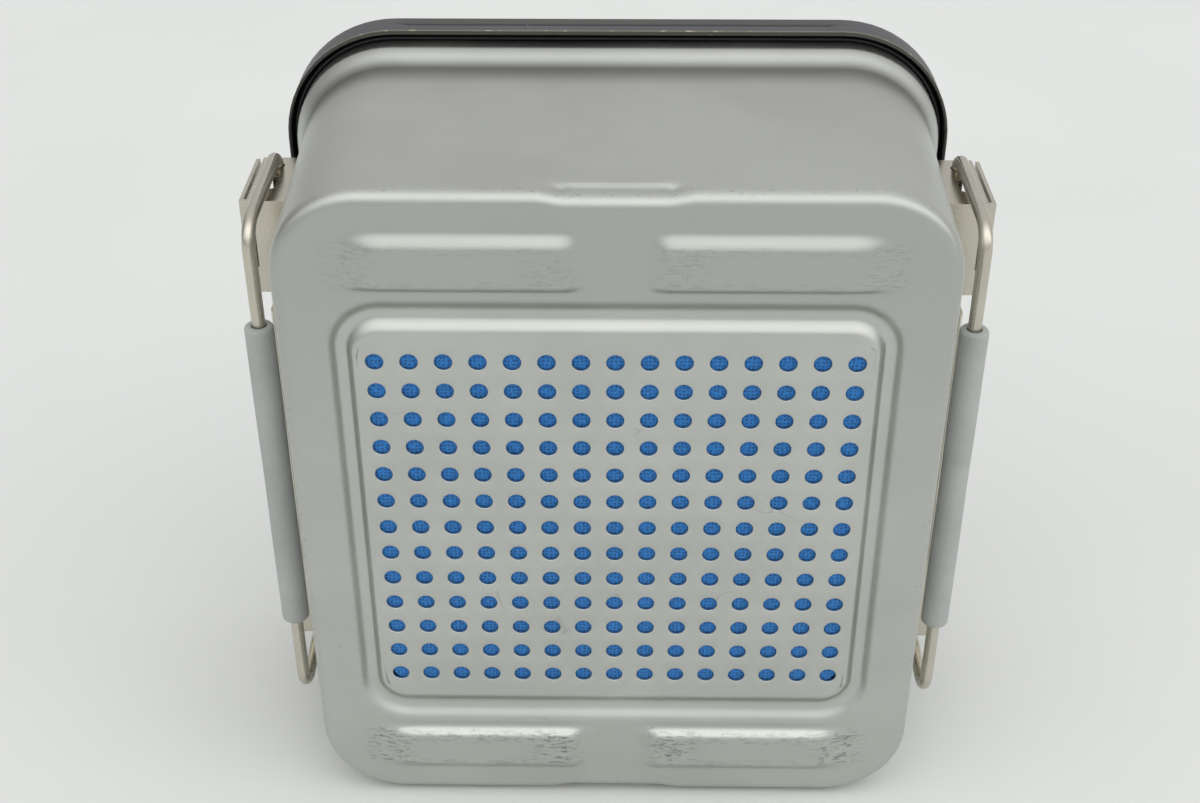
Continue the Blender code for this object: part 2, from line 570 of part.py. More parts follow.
def make_latch_bracket(name, sx, parent, finish):
    """Plate on the skirt with a knuckle at each end of the latch."""
    skirt, t = HALF_X + LID_OFFSET + GAP, HINGE_SHEET
    inner, outer = LATCH_NECK + KNUCKLE_GAP, KNUCKLE_END
    reach_low, reach_high = HINGE_Z + KNUCKLE_REACH[0], HINGE_Z + KNUCKLE_REACH[1]
    outline = [(skirt, HINGE_PLATE_Z), (skirt + t, HINGE_PLATE_Z), (skirt + t, reach_low)]
    outline += [point for point in circle((HINGE_X, HINGE_Z), HINGE_RADIUS, 12, -math.pi)
                if point[0] > skirt + t]
    outline += [(skirt + t, reach_high), (skirt, reach_high)]
    bm = bmesh.new()
    for sy in (-1, 1):
        ends = sorted((sy * inner, sy * outer))
        add_prism(bm, outline, ends[0], ends[1], 1)
    knuckles = add_object(name, bm, parent, finish)
    bm = bmesh.new()
    tie = box_outline((skirt + WELD, TIE_Z[0]), (skirt + t - 2.0 * WELD, TIE_Z[1]))
    middle = 0.5 * (inner + outer)
    add_prism(bm, tie, -middle, middle, 1)
    tie_bar = add_cutter(name + "_tie", bm, parent)
    bm = bmesh.new()
    reach = LATCH_HALF + OVERCUT
    add_prism(bm, circle((HINGE_X, HINGE_Z), PIN_RADIUS + GAP, 8), -reach, reach, 1)
    for y in (-LID_RIVET_Y, LID_RIVET_Y):
        add_prism(bm, circle((y, LID_RIVET_Z), LID_RIVET_HOLE, 8), skirt - OVERCUT, skirt + t + OVERCUT, 0)
    holes = add_cutter(name + "_holes", bm, parent)
    boolean(knuckles, tie_bar, "UNION")
    boolean(knuckles, holes, "DIFFERENCE")
    for made in (knuckles, tie_bar, holes):
        mirror_x(made, sx)


def mirror_x(target, sx):
    """Mirror a finished mesh to the left side, keeping its faces outward."""
    if sx < 0:
        target.data.transform(Matrix.Diagonal((-1.0, 1.0, 1.0, 1.0)))
        target.data.flip_normals()


def make_lid_rivets(parent, finish):
    skirt = HALF_X + LID_OFFSET
    seat, inside = skirt + GAP + HINGE_SHEET + GAP, skirt - SHEET - GAP
    profile = [(radius, inside + rise) for radius, rise in LID_RIVET_TAIL]
    profile += [(LID_RIVET_SHANK, inside), (LID_RIVET_SHANK, seat)]
    profile += [(radius, seat + rise) for radius, rise in LID_RIVET_HEAD]
    for side, sx in (("left", -1), ("right", 1)):
        for end, sy in (("upper", -1), ("lower", 1)):
            add_rivet(f"latch_rivet_{side}_{end}", sx, sy * LID_RIVET_Y, LID_RIVET_Z, profile, parent, finish)


def make_latch(name, sx, parent, finish):
    """Latch plate: barrel on the pin, neck, wide plate and an in-turned lip."""
    t = LATCH_SHEET
    bm = bmesh.new()
    add_prism(bm, circle((0.0, 0.0), HINGE_RADIUS, 12), -LATCH_NECK, LATCH_NECK, 1)
    barrel = add_object(name, bm, parent, finish)
    bm = bmesh.new()
    neck = box_outline((NECK_X[0], NECK_Z), (NECK_X[1], 0.0))
    add_prism(bm, neck, WELD - LATCH_NECK, LATCH_NECK - WELD, 1)
    neck_plate = add_cutter(name + "_neck", bm, parent)
    lip_x, lip_z = LATCH_LIP_X - HINGE_X, LATCH_LIP_Z - HINGE_Z
    fold_x, fold_z = LATCH_OUTLINE[-1]
    outer = list(LATCH_OUTLINE) + [(lip_x, lip_z)]
    inner = [(x - t, z) for x, z in LATCH_OUTLINE[:-1]]
    inner += [(fold_x - t, fold_z + LATCH_FOLD), (lip_x, lip_z + t)]
    bm = bmesh.new()
    add_prism(bm, outer + inner[::-1], -LATCH_HALF, LATCH_HALF, 1)
    plate = add_cutter(name + "_plate", bm, parent)
    bm = bmesh.new()
    reach = LATCH_HALF + OVERCUT
    add_prism(bm, circle((0.0, 0.0), PIN_RADIUS + GAP, 8), -reach, reach, 1)
    bore = add_cutter(name + "_bore", bm, parent)
    boolean(barrel, neck_plate, "UNION")
    boolean(barrel, plate, "UNION")
    boolean(barrel, bore, "DIFFERENCE")
    for made in (barrel, neck_plate, plate, bore):
        mirror_x(made, sx)


def make_pin(name, sx, parent, finish):
    bm = bmesh.new()
    add_prism(bm, circle((sx * HINGE_X, HINGE_Z), PIN_RADIUS, 8), -PIN_HALF, PIN_HALF, 1)
    smooth(add_object(name, bm, parent, finish))


# ---------------------------------------------------------------- handles
def handle_path():
    """Centre line (y, z) of the bail about its pivot: in through one ear, out of the other."""
    end_bend, corner = ROD_END_BEND, ROD_CORNER
    run_z = ROD_RUN_Z - PIVOT_Z
    half = [(ROD_END_Y, 0.0)]
    half += arc((ROD_ARM_Y - end_bend, -end_bend), end_bend, 0.5 * math.pi, 0.0, 4)
    half += arc((ROD_ARM_Y - corner, run_z + corner), corner, 0.0, -0.5 * math.pi, 4)
    return half + [(-y, z) for y, z in reversed(half)]


def make_handle(side, sx, parent, rod_finish, grip_finish):
    curve = bpy.data.curves.new(f"handle_rod_{side}", "CURVE")
    curve.dimensions = "3D"
    curve.bevel_depth = ROD_RADIUS
    curve.bevel_resolution = 2
    curve.use_fill_caps = True
    points = handle_path()
    spline = curve.splines.new("POLY")
    spline.points.add(len(points) - 1)
    for point, (y, z) in zip(spline.points, points):
        point.co = (0.0, y, z, 1.0)
    curve.materials.append(rod_finish)
    rod = bpy.data.objects.new(f"handle_rod_{side}", curve)
    bpy.context.scene.collection.objects.link(rod)
    rod.parent = parent

    run_z = ROD_RUN_Z - PIVOT_Z
    bore, edge = ROD_RADIUS + GAP, GRIP_EDGE
    profile = [(bore, -GRIP_HALF), (GRIP_RADIUS - edge, -GRIP_HALF), (GRIP_RADIUS, -GRIP_HALF + edge),
               (GRIP_RADIUS, GRIP_HALF - edge), (GRIP_RADIUS - edge, GRIP_HALF), (bore, GRIP_HALF)]
    bm = bmesh.new()
    turned(bm, profile, 12, 1, (0.0, 0.0, run_z))
    smooth(add_object(f"grip_{side}", bm, parent, grip_finish))

    for end, sy in (("upper", -1), ("lower", 1)):
        inner_face = BRACKET_Y[1] - BRACKET_SHEET - NUT_GAP
        ring = box_outline((bore, inner_face - NUT_WIDTH), (NUT_RADIUS, inner_face))
        bm = bmesh.new()
        turned(bm, [(radius, sy * y) for radius, y in ring], 10, 1, (0.0, 0.0, 0.0))
        add_object(f"push_nut_{side}_{end}", bm, parent, rod_finish)


# ---------------------------------------------------------------- assembly
def lean_angle():
    """Tilt of the container when the lid's shoulder and the bottom edge touch the ground."""
    return math.atan2(LID_OFFSET, LID_TOP - SHOULDER_RADIUS - EDGE_RADIUS)


def stand_on_origin(case):
    """Move the finished container so that its box stands centred on the origin."""
    bpy.context.view_layer.update()
    graph = bpy.context.evaluated_depsgraph_get()
    corners = []
    for part in bpy.context.scene.objects:
        if part.type in {"MESH", "CURVE"} and not part.hide_render:
            mesh = part.evaluated_get(graph).to_mesh()
            corners += [part.matrix_world @ vert.co for vert in mesh.vertices]
    low = Vector([min(corner[i] for corner in corners) for i in range(3)])
    high = Vector([max(corner[i] for corner in corners) for i in range(3)])
    case.location -= Vector(((low.x + high.x) / 2.0, (low.y + high.y) / 2.0, low.z))


def add_empty(name, parent, place):
    empty = bpy.data.objects.new(name, None)
    bpy.context.scene.collection.objects.link(empty)
    empty.parent = parent
    empty.location = place
    return empty


def main():
    clear_scene()
    aluminium = material("satin_aluminium", ALUMINIUM, 0.42, 0.9)
    dark = material("grey_anodised", (0.18, 0.19, 0.18), 0.45, 0.6)
    steel = material("stainless_steel", STEEL, 0.28, 1.0)
    silicone = material("grey_silicone", (0.31, 0.34, 0.34), 0.6, 0.0)
    rubber = material("black_silicone", (0.01, 0.01, 0.012), 0.55, 0.0)
    nonwoven = material("blue_nonwoven", (0.02, 0.14, 0.42), 0.9, 0.0)

    case = add_empty("container", None, (0.0, 0.0, 0.0))
    case.rotation_euler = (lean_angle() - 0.5 * math.pi, 0.0, 0.0)

    make_base_shell(case, aluminium)
    make_wall_rivets(case, aluminium)
    make_filter("base_filter", BASE_FILTER, SHEET + GAP, case, nonwoven)
    make_base_retainer(case, steel)
    make_filter("lid_filter", LID_FILTER, LID_PANEL_Z - SHEET - GAP - FILTER_THICKNESS, case, nonwoven)
    make_lid_retainer(case, steel)
    make_retainer_bolts(case, steel)
    make_lid_shell(case, dark)
    make_gasket(case, rubber)
    make_lid_rivets(case, aluminium)
    for side, sx in (("left", -1), ("right", 1)):
        for end, sy in (("upper", -1), ("lower", 1)):
            make_bracket(f"handle_bracket_{side}_{end}", sx, sy, case, steel)
        make_catch(f"latch_catch_{side}", sx, case, steel)
        make_latch_bracket(f"latch_bracket_{side}", sx, case, steel)
        make_pin(f"latch_pin_{side}", sx, case, steel)
        hinge = add_empty(f"latch_axis_{side}", case, (sx * HINGE_X, 0.0, HINGE_Z))
        make_latch(f"latch_{side}", sx, hinge, steel)
        pivot = add_empty(f"handle_axis_{side}", case, (sx * PIVOT_X, 0.0, PIVOT_Z))
        make_handle(side, sx, pivot, steel, silicone)
    stand_on_origin(case)


main()
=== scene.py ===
"""Looks of a half-length rigid sterilisation container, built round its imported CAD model.

Lengths are in metres.  Pieces are modelled in the container's own axes: x across the two
handles, y along the length, z from the outer face of the bottom plate up to the lid.
PLACE takes them into the frame, where the container stands on one long side wall.
"""

import json
import math

import bmesh
import bpy
from mathutils import Matrix, Vector, noise


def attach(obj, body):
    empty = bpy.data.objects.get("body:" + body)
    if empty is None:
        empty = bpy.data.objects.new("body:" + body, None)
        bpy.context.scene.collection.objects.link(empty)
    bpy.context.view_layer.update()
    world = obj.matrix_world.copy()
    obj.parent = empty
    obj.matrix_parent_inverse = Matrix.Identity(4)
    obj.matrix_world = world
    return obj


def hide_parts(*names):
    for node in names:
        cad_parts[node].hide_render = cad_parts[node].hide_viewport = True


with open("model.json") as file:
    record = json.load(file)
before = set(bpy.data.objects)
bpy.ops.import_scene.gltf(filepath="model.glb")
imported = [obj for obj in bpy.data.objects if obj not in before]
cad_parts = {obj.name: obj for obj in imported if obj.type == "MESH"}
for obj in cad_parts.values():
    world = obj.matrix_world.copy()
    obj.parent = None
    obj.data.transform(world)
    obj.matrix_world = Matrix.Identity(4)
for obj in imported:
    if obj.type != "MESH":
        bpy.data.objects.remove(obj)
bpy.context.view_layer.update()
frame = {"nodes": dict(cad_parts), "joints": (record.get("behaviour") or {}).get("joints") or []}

# ---------------------------------------------------------------- dimensions, as in the CAD model
PITCH = 0.012
HOLE_COLUMNS, HOLE_ROWS, HOLE_RADIUS = 15, 13, 0.0032
GAP, SHEET = 0.0003, 0.0012
HALF_X, HALF_Y, CORNER_RADIUS = 0.118, 0.137, 0.0325
EDGE_RADIUS, DRAFT = 0.0055, 0.03
FLARE_START, FLARE_END, FLANGE_OFFSET, RIM_Z = 0.1005, 0.1105, 0.0072, 0.121
PANEL_EDGE, GROOVE_EDGE, GROOVE_DEPTH = (0.0908, 0.0830), (0.1006, 0.0974), 0.0034
GROOVE_FLOOR = ((0.0942, 0.0894), (0.0968, 0.0908))
NOTCH_HALF, NOTCH_RAMP, NOTCH_DEPTH, NOTCH_TOP = 0.0170, 0.010, 0.0015, 0.0085
PAD_HEIGHT = 0.0036
LID_OFFSET, SKIRT_Z, LID_TOP, SHOULDER_RADIUS = 0.0115, 0.1142, 0.132, 0.0035
LID_STEP, LID_PANEL_Z, LID_COLUMNS, LID_ROWS = -0.0005, 0.128, 11, 9
LID_FIELD, LID_FIELD_CORNER, BEAD_WIDTH, BEAD_HEIGHT = (0.078, 0.066), 0.012, 0.006, 0.002
PIVOT_X, PIVOT_Z, ROD_RADIUS = 0.130, 0.0912, 0.0025
ROD_ARM_Y, ROD_RUN_Z, ROD_END_Y = 0.1086, 0.030, 0.090
ROD_END_BEND, ROD_CORNER = 0.006, 0.010
GRIP_RADIUS, GRIP_HALF = 0.0054, 0.069
HINGE_X, HINGE_Z, HINGE_SHEET, PIN_RADIUS, PIN_HALF = 0.1337, 0.123, 0.0012, 0.0014, 0.0605
BRACKET_SEAT, CATCH_SEAT = 0.1232, 0.1226     # outer face of each riveted sheet, with its play
BRACKET_RIVET_Y, BRACKET_RIVET_Z = (0.0745, 0.0945), 0.077
CATCH_RIVET_Y, CATCH_RIVET_Z = 0.036, 0.071
LATCH_RIVET_Y, LATCH_RIVET_Z = 0.054, 0.1175
NUT_Y = 0.1006
BASE_FILTER, LID_FILTER, FILTER_CORNER, FILTER_SHEET = (0.0888, 0.0795), (0.078, 0.068), 0.014, 0.0006

# ---------------------------------------------------------------- details of the look only
# Each foot pad: where its sides start and end, from the middle of the plate outward
PAD_X = ((0.0085, 0.0185), (0.1010, 0.0785))
PAD_Y = ((0.0995, 0.1036), (0.1240, 0.1166))
# Line pressed into the skirt of the lid
SKIRT_GROOVE_Z, SKIRT_GROOVE_DEPTH, SKIRT_GROOVE_END = 0.1226, 0.0009, 0.0800
# Burr of a hole: how much wider it is at each depth below the plate's outer face
BASE_BURR = ((0.00022, 0.0), (0.00006, 0.00008), (0.0, 0.00028))
LID_BURR = ((0.0002, 0.0), (0.0, 0.0002))
INNER_BURR = 0.0001
# Heights of the loops round the straight part of the base's wall, closer together at the notch
WALL_LEVELS = (0.0065, 0.0075, 0.0085, 0.0095, 0.0110, 0.0140, 0.022, 0.034, 0.048, 0.062, 0.076, 0.088)
FOLD_ROUNDING = 0.00035       # rounding of the edges of folded sheet
AXIS_HOLE = 0.0002            # radius at which a turned piece is closed with a flat face
TOUCHING = 1e-6               # points closer than this are taken as one

# Brightness of the surroundings from the front horizon (0) over the zenith (0.5) to the back (1)
SKY_LEVELS = ((0.0, 0.60), (0.10, 0.86), (0.18, 1.55), (0.30, 1.90), (0.40, 1.55), (0.50, 0.95),
              (0.60, 0.74), (0.77, 0.73), (1.0, 0.61))
SKY_STRENGTH = 2.0            # the ramp holds the levels divided by this, as it ends at 1
SIDE_DIMMING, SIDE_LEAN = 0.30, 0.28
FLOOR_HALF = 6.0

CAMERA_TARGET = Vector((-0.0054, -0.0562, 0.0))     # in the container's axes
CAMERA_AZIMUTH, CAMERA_ELEVATION = math.radians(-0.71), math.radians(27.8)
CAMERA_DISTANCE, CAMERA_LENS, CAMERA_SENSOR = 0.5968, 50.8, 36.0

# ---------------------------------------------------------------- mesh segments
CELL_STEPS = 6                # along one side of a hole's cell
ARC_STEPS = 8                 # over half a corner of a loop
GROOVE_STEPS, FLARE_STEPS, EDGE_STEPS, PLATE_LOOPS = 7, 14, 9, 36
BEAD_STEPS, STEP_STEPS, SHOULDER_STEPS, HEM_STEPS = 12, 8, 7, 6
ROD_SIDES, GRIP_SIDES, RIVET_SIDES, NUT_SIDES = 24, 40, 28, 32
SIDES = (("left", -1), ("right", 1))
ENDS = (("upper", -1), ("lower", 1))


# ---------------------------------------------------------------- place of the container
def joint(name):
    return next(item for item in frame["joints"] if item["name"] == name)


def container_place():
    """Matrix from the container's own axes to the frame, read from the joints."""
    up = Vector(joint("lid_lift")["axis"]).normalized()
    along = Vector(joint("handle_left_swing")["axis"]).normalized()
    left = Vector(joint("handle_left_swing")["pos_m"])
    right = Vector(joint("handle_right_swing")["pos_m"])
    origin = (left + right) / 2.0 - PIVOT_Z * up
    across = along.cross(up)
    place = Matrix((across, along, up)).transposed().to_4x4()
    place.translation = origin
    return place


PLACE = container_place()


# ---------------------------------------------------------------- mesh helpers
class Skin:
    """Points and faces of one mesh, in the container's axes."""

    def __init__(self):
        self.points = []
        self.faces = []

    def ring(self, points):
        first = len(self.points)
        self.points.extend(points)
        return list(range(first, len(self.points)))

    def bridge(self, near, far):
        for i in range(len(near)):
            j = (i + 1) % len(near)
            self.faces.append((near[i], near[j], far[j], far[i]))

    def bridge_all(self, rings):
        for near, far in zip(rings, rings[1:]):
            self.bridge(near, far)

    def close(self, rings):
        """Close both ends of a row of rings with a flat face each."""
        self.faces += [tuple(rings[0]), tuple(rings[-1])]


def add_piece(name, skin, body, nodes, finish, sharp=35.0):
    """Make the object, lay it in the frame, hang it on its body and hide the CAD nodes it stands for."""
    mesh = bpy.data.meshes.new(name)
    mesh.from_pydata([PLACE @ Vector(point) for point in skin.points], [], skin.faces)
    bm = bmesh.new()
    bm.from_mesh(mesh)
    bmesh.ops.remove_doubles(bm, verts=bm.verts, dist=TOUCHING)
    bmesh.ops.recalc_face_normals(bm, faces=bm.faces)
    bm.to_mesh(mesh)
    bm.free()
    mesh.shade_smooth()
    mesh.set_sharp_from_angle(angle=math.radians(sharp))
    mesh.materials.append(finish)
    piece = bpy.data.objects.new(name, mesh)
    bpy.context.scene.collection.objects.link(piece)
    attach(piece, body)
    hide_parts(*nodes)
    return piece


def smoothstep(low, high, value):
    share = min(1.0, max(0.0, (value - low) / (high - low)))
    return share * share * (3.0 - 2.0 * share)


def mix(low, high, share):
    return low + (high - low) * share


def arc(centre, radius, start, end, steps):
    """Points on an arc, with both ends."""
    return [(centre[0] + radius * math.cos(mix(start, end, i / steps)),
             centre[1] + radius * math.sin(mix(start, end, i / steps))) for i in range(steps + 1)]


# ---------------------------------------------------------------- perforated plates
class LoopPlan:
    """Closed loops that have as many points as the border of a field of square cells."""

    def __init__(self, columns, rows, steps):
        self.columns, self.rows, self.steps = columns, rows, steps

    def points(self, half_x, half_y, radius):
        """Rounded rectangle, from the middle of one corner round to it again."""
        loop = []
        for turn in range(4):
            count = self.steps * (self.columns, self.rows)[turn % 2]
            length, width = ((half_x, half_y), (half_y, half_x))[turn % 2]
            for i in range(count):
                nearest = min(i, count - i)
                if nearest < ARC_STEPS:
                    angle = 0.25 * math.pi * (1.0 - nearest / ARC_STEPS)
                    sign = -1.0 if i < ARC_STEPS else 1.0
                    along = sign * (length - radius + radius * math.sin(angle))
                    out = width - radius + radius * math.cos(angle)
                else:
                    share = (i - ARC_STEPS) / (count - 2 * ARC_STEPS)
                    along, out = (length - radius) * (2.0 * share - 1.0), width
                loop.append(((along, -out), (out, along), (-along, out), (-out, -along))[turn])
        return loop

    def field(self, skin, hole, outer_z, inner_z):
        """Cells with a round hole each; hole is its (radius, z) profile from outside to inside.
        Returns the outer and the inner border as rings."""
        steps, grid = self.steps, {}
        x0, y0 = -0.5 * self.columns * PITCH, -0.5 * self.rows * PITCH

        def corner(i, j, z):
            key = (i, j, z)
            if key not in grid:
                grid[key] = len(skin.points)
                skin.points.append((x0 + i * PITCH / steps, y0 + j * PITCH / steps, z))
            return grid[key]

        def border(left, low, right, high, z):
            places = [(i, low) for i in range(left, right)] + [(right, j) for j in range(low, high)]
            places += [(i, high) for i in range(right, left, -1)] + [(left, j) for j in range(high, low, -1)]
            return [corner(i, j, z) for i, j in places]

        for column in range(self.columns):
            for row in range(self.rows):
                edges = (column * steps, row * steps, (column + 1) * steps, (row + 1) * steps)
                centre = (x0 + (column + 0.5) * PITCH, y0 + (row + 0.5) * PITCH)
                rings = [border(*edges, outer_z)]
                for radius, z in hole:
                    round_edge = arc(centre, radius, -0.75 * math.pi, 1.25 * math.pi, 4 * steps)[:-1]
                    rings.append(skin.ring([(x, y, z) for x, y in round_edge]))
                skin.bridge_all(rings + [border(*edges, inner_z)])
        whole = (0, 0, self.columns * steps, self.rows * steps)
        return border(*whole, outer_z), border(*whole, inner_z)


# ---------------------------------------------------------------- base
def wall_offset(z):
    return DRAFT * (z - EDGE_RADIUS)


def on_wall(y, half_y):
    """Whether a point of a loop lies on one of its straight y sides."""
    return abs(y) > half_y - TOUCHING


def pad_share(x, y):
    """0 on the flat plate, 1 on top of a foot pad, with soft sides that fade out at its ends."""
    share = 1.0
    for value, ((foot_in, top_in), (foot_out, top_out)) in ((abs(x), PAD_X), (abs(y), PAD_Y)):
        share *= smoothstep(foot_in, top_in, value) * (1.0 - smoothstep(top_out, foot_out, value))
    return share


def notch_dent(x, z):
    """Depth of the dent in the middle of each y wall, with a small pit at its two upper corners."""
    soft_below, soft_above = 0.0022, 0.0012
    pit_out, pit_down, pit_stretch = 0.0022, 0.0008, 0.8
    pit_depth, pit_floor, pit_edge = 0.0009, 0.0004, 0.0034
    across = 1.0 - smoothstep(NOTCH_HALF, NOTCH_HALF + NOTCH_RAMP, abs(x))
    upward = 1.0 - smoothstep(NOTCH_TOP - soft_below, NOTCH_TOP + soft_above, z)
    from_pit = math.hypot(abs(x) - NOTCH_HALF - pit_out, pit_stretch * (z - NOTCH_TOP + pit_down))
    pit = pit_depth * (1.0 - smoothstep(pit_floor, pit_edge, from_pit))
    return NOTCH_DEPTH * across * upward + pit


def base_loops(plan, skin, lift):
    """Rings over one face of the base: lift is 0 on the outer face and SHEET on the inner one."""
    flat_inset, flat_radius = (0.0005, 0.0015), 0.0085
    panel_radii, groove_radii = (0.0095, 0.0130), (0.0200, 0.0155)    # at the edge and on the floor
    slope_share = 0.6         # how far a sloping wall's inner face lies beside its outer one, in lifts
    notch_reach = 0.75        # where the notch starts, as a share of the way to the plate's rim
    rim_rounding = 0.0006
    rings = []

    def add(half_x, half_y, radius, height, dent=0.0, pads=False):
        points = []
        for x, y in plan.points(half_x, half_y, radius):
            z = height
            if pads:
                z -= PAD_HEIGHT * pad_share(x, y)
            if dent and on_wall(y, half_y):
                y -= math.copysign(dent * notch_dent(x, max(z, 0.0)), y)
            points.append((x, y, z))
        rings.append(skin.ring(points))

    inner_floor, outer_floor = GROOVE_FLOOR
    down = [i / GROOVE_STEPS for i in range(GROOVE_STEPS + 1)]
    add(PANEL_EDGE[0] - flat_inset[0], PANEL_EDGE[1] - flat_inset[1], flat_radius, lift)
    for edge, floor, radii, shares, side in ((PANEL_EDGE, inner_floor, panel_radii, down, -1.0),
                                             (GROOVE_EDGE, outer_floor, groove_radii, down[::-1], 1.0)):
        grow = side * slope_share * lift
        for share in shares:
            add(mix(edge[0], floor[0], share) + grow, mix(edge[1], floor[1], share) + grow,
                mix(*radii, share), lift + GROOVE_DEPTH * smoothstep(0.0, 1.0, share))
    rim_x, rim_y, rim_radius = HALF_X - EDGE_RADIUS, HALF_Y - EDGE_RADIUS, CORNER_RADIUS - EDGE_RADIUS
    for i in range(1, PLATE_LOOPS):
        share = i / PLATE_LOOPS
        add(mix(GROOVE_EDGE[0], rim_x, share), mix(GROOVE_EDGE[1], rim_y, share),
            mix(groove_radii[0], rim_radius, share), lift, smoothstep(notch_reach, 1.0, share), True)
    profile = arc((-EDGE_RADIUS, EDGE_RADIUS), EDGE_RADIUS - lift, -0.5 * math.pi, 0.0, EDGE_STEPS)
    profile += [(wall_offset(z) - lift, z) for z in WALL_LEVELS]
    for i in range(FLARE_STEPS + 1):
        share = i / FLARE_STEPS
        profile.append((mix(wall_offset(FLARE_START), FLANGE_OFFSET, smoothstep(0.0, 1.0, share)) - lift,
                        mix(FLARE_START, FLARE_END, share)))
    profile.append((FLANGE_OFFSET - lift, RIM_Z - rim_rounding))
    for offset, z in profile:
        add(HALF_X + offset, HALF_Y + offset, CORNER_RADIUS + offset, z, 1.0)
    return rings


def make_base_shell(finish):
    wave_height, wave_length, wave_start, wave_end = 0.00022, 1.0 / 17.0, 0.55, 0.76
    plan, skin = LoopPlan(HOLE_COLUMNS, HOLE_ROWS, CELL_STEPS), Skin()
    hole = [(HOLE_RADIUS + wider, depth) for wider, depth in BASE_BURR]
    hole += [(HOLE_RADIUS, SHEET - INNER_BURR), (HOLE_RADIUS + INNER_BURR, SHEET)]
    outer, inner = plan.field(skin, hole, 0.0, SHEET)
    outside = [outer] + base_loops(plan, skin, 0.0)
    inside = [inner] + base_loops(plan, skin, SHEET)
    lip = FLANGE_OFFSET - 0.5 * SHEET
    crown = skin.ring([(x, y, RIM_Z) for x, y in
                       plan.points(HALF_X + lip, HALF_Y + lip, CORNER_RADIUS + lip)])
    skin.bridge_all(outside + [crown] + inside[::-1])
    for i, (x, y, z) in enumerate(skin.points):
        if z < 2.0 * GROOVE_DEPTH:
            outward = max(abs(x) / HALF_X, abs(y) / HALF_Y)
            place = Vector((x / wave_length, y / wave_length, 3.0))
            wave = wave_height * (1.0 - smoothstep(wave_start, wave_end, outward)) * noise.noise(place)
            skin.points[i] = (x, y, z + wave)
    return add_piece("case_base", skin, "base", ["base_shell"], finish, sharp=50.0)


# ---------------------------------------------------------------- lid
def make_lid_shell(finish):
    line_fade, skirt_inside = 0.003, (0.120, SKIRT_Z + 0.0008)
    plan, skin = LoopPlan(LID_COLUMNS, LID_ROWS, CELL_STEPS), Skin()
    inner_z = LID_PANEL_Z - SHEET
    hole = [(HOLE_RADIUS + wider, LID_PANEL_Z - depth) for wider, depth in LID_BURR]
    hole += [(HOLE_RADIUS, inner_z + INNER_BURR), (HOLE_RADIUS + INNER_BURR, inner_z)]
    outer, inner = plan.field(skin, hole, LID_PANEL_Z, inner_z)

    def add(half_x, half_y, radius, z, line=0.0):
        """One loop; line is how far its straight y sides are pressed in."""
        points = []
        for x, y in plan.points(half_x, half_y, radius):
            if line and on_wall(y, half_y):
                along = 1.0 - smoothstep(SKIRT_GROOVE_END, SKIRT_GROOVE_END + line_fade, abs(x))
                y -= math.copysign(line * along, y)
            points.append((x, y, z))
        return skin.ring(points)

    def offset(value, z, line=0.0):
        return add(HALF_X + value, HALF_Y + value, CORNER_RADIUS + value, z, line)

    def face(t):
        """Rings over the top of the lid; t is 0 outside and the sheet's thickness inside."""
        bead_start, bead_end = 0.3 * BEAD_WIDTH, 2.0 * BEAD_WIDTH
        step_start, step_width = LID_STEP - 0.005, 0.006
        inside_start, inside_end = 0.4, 0.8       # how much further out the inner face lies, in sheets
        rings = []
        for i in range(BEAD_STEPS + 1):
            grow = mix(bead_start, bead_end, i / BEAD_STEPS)
            rise = BEAD_HEIGHT * math.sin(math.pi * i / BEAD_STEPS) ** 2
            rings.append(add(LID_FIELD[0] + grow, LID_FIELD[1] + grow, LID_FIELD_CORNER + grow,
                             LID_PANEL_Z + rise - t))
        for i in range(STEP_STEPS + 1):
            share = smoothstep(0.0, 1.0, i / STEP_STEPS)
            place = step_start + step_width * i / STEP_STEPS
            rings.append(offset(place + t * mix(inside_start, inside_end, share),
                                mix(LID_PANEL_Z, LID_TOP, share) - t))
        shoulder = arc((LID_OFFSET - SHOULDER_RADIUS, LID_TOP - SHOULDER_RADIUS), SHOULDER_RADIUS - t,
                       0.5 * math.pi, 0.0, SHOULDER_STEPS)
        return rings + [offset(x, z) for x, z in shoulder]

    outside = [outer] + face(0.0)
    upper_half = ((0.0014, 0.0), (0.0010, 0.0), (0.0008, 0.45), (0.0005, 0.9))
    lower_half = [(-rise, line) for rise, line in reversed(upper_half)]
    for rise, line in (*upper_half, (0.0, 1.0), *lower_half, (-0.0060, 0.0)):
        outside.append(offset(LID_OFFSET, SKIRT_GROOVE_Z + rise, line * SKIRT_GROOVE_DEPTH))
    hem_radius = 0.5 * SHEET
    outside.append(offset(LID_OFFSET, SKIRT_Z + hem_radius + 0.0001))
    hem = [offset(x, z) for x, z in
           arc((LID_OFFSET - hem_radius, SKIRT_Z + hem_radius), hem_radius, 0.0, -math.pi, HEM_STEPS)]
    inside = [inner] + face(SHEET) + [offset(LID_OFFSET - SHEET, z) for z in skirt_inside]
    skin.bridge_all(outside + hem + inside[::-1])
    return add_piece("case_lid", skin, "lid", ["lid_shell"], finish, sharp=40.0)


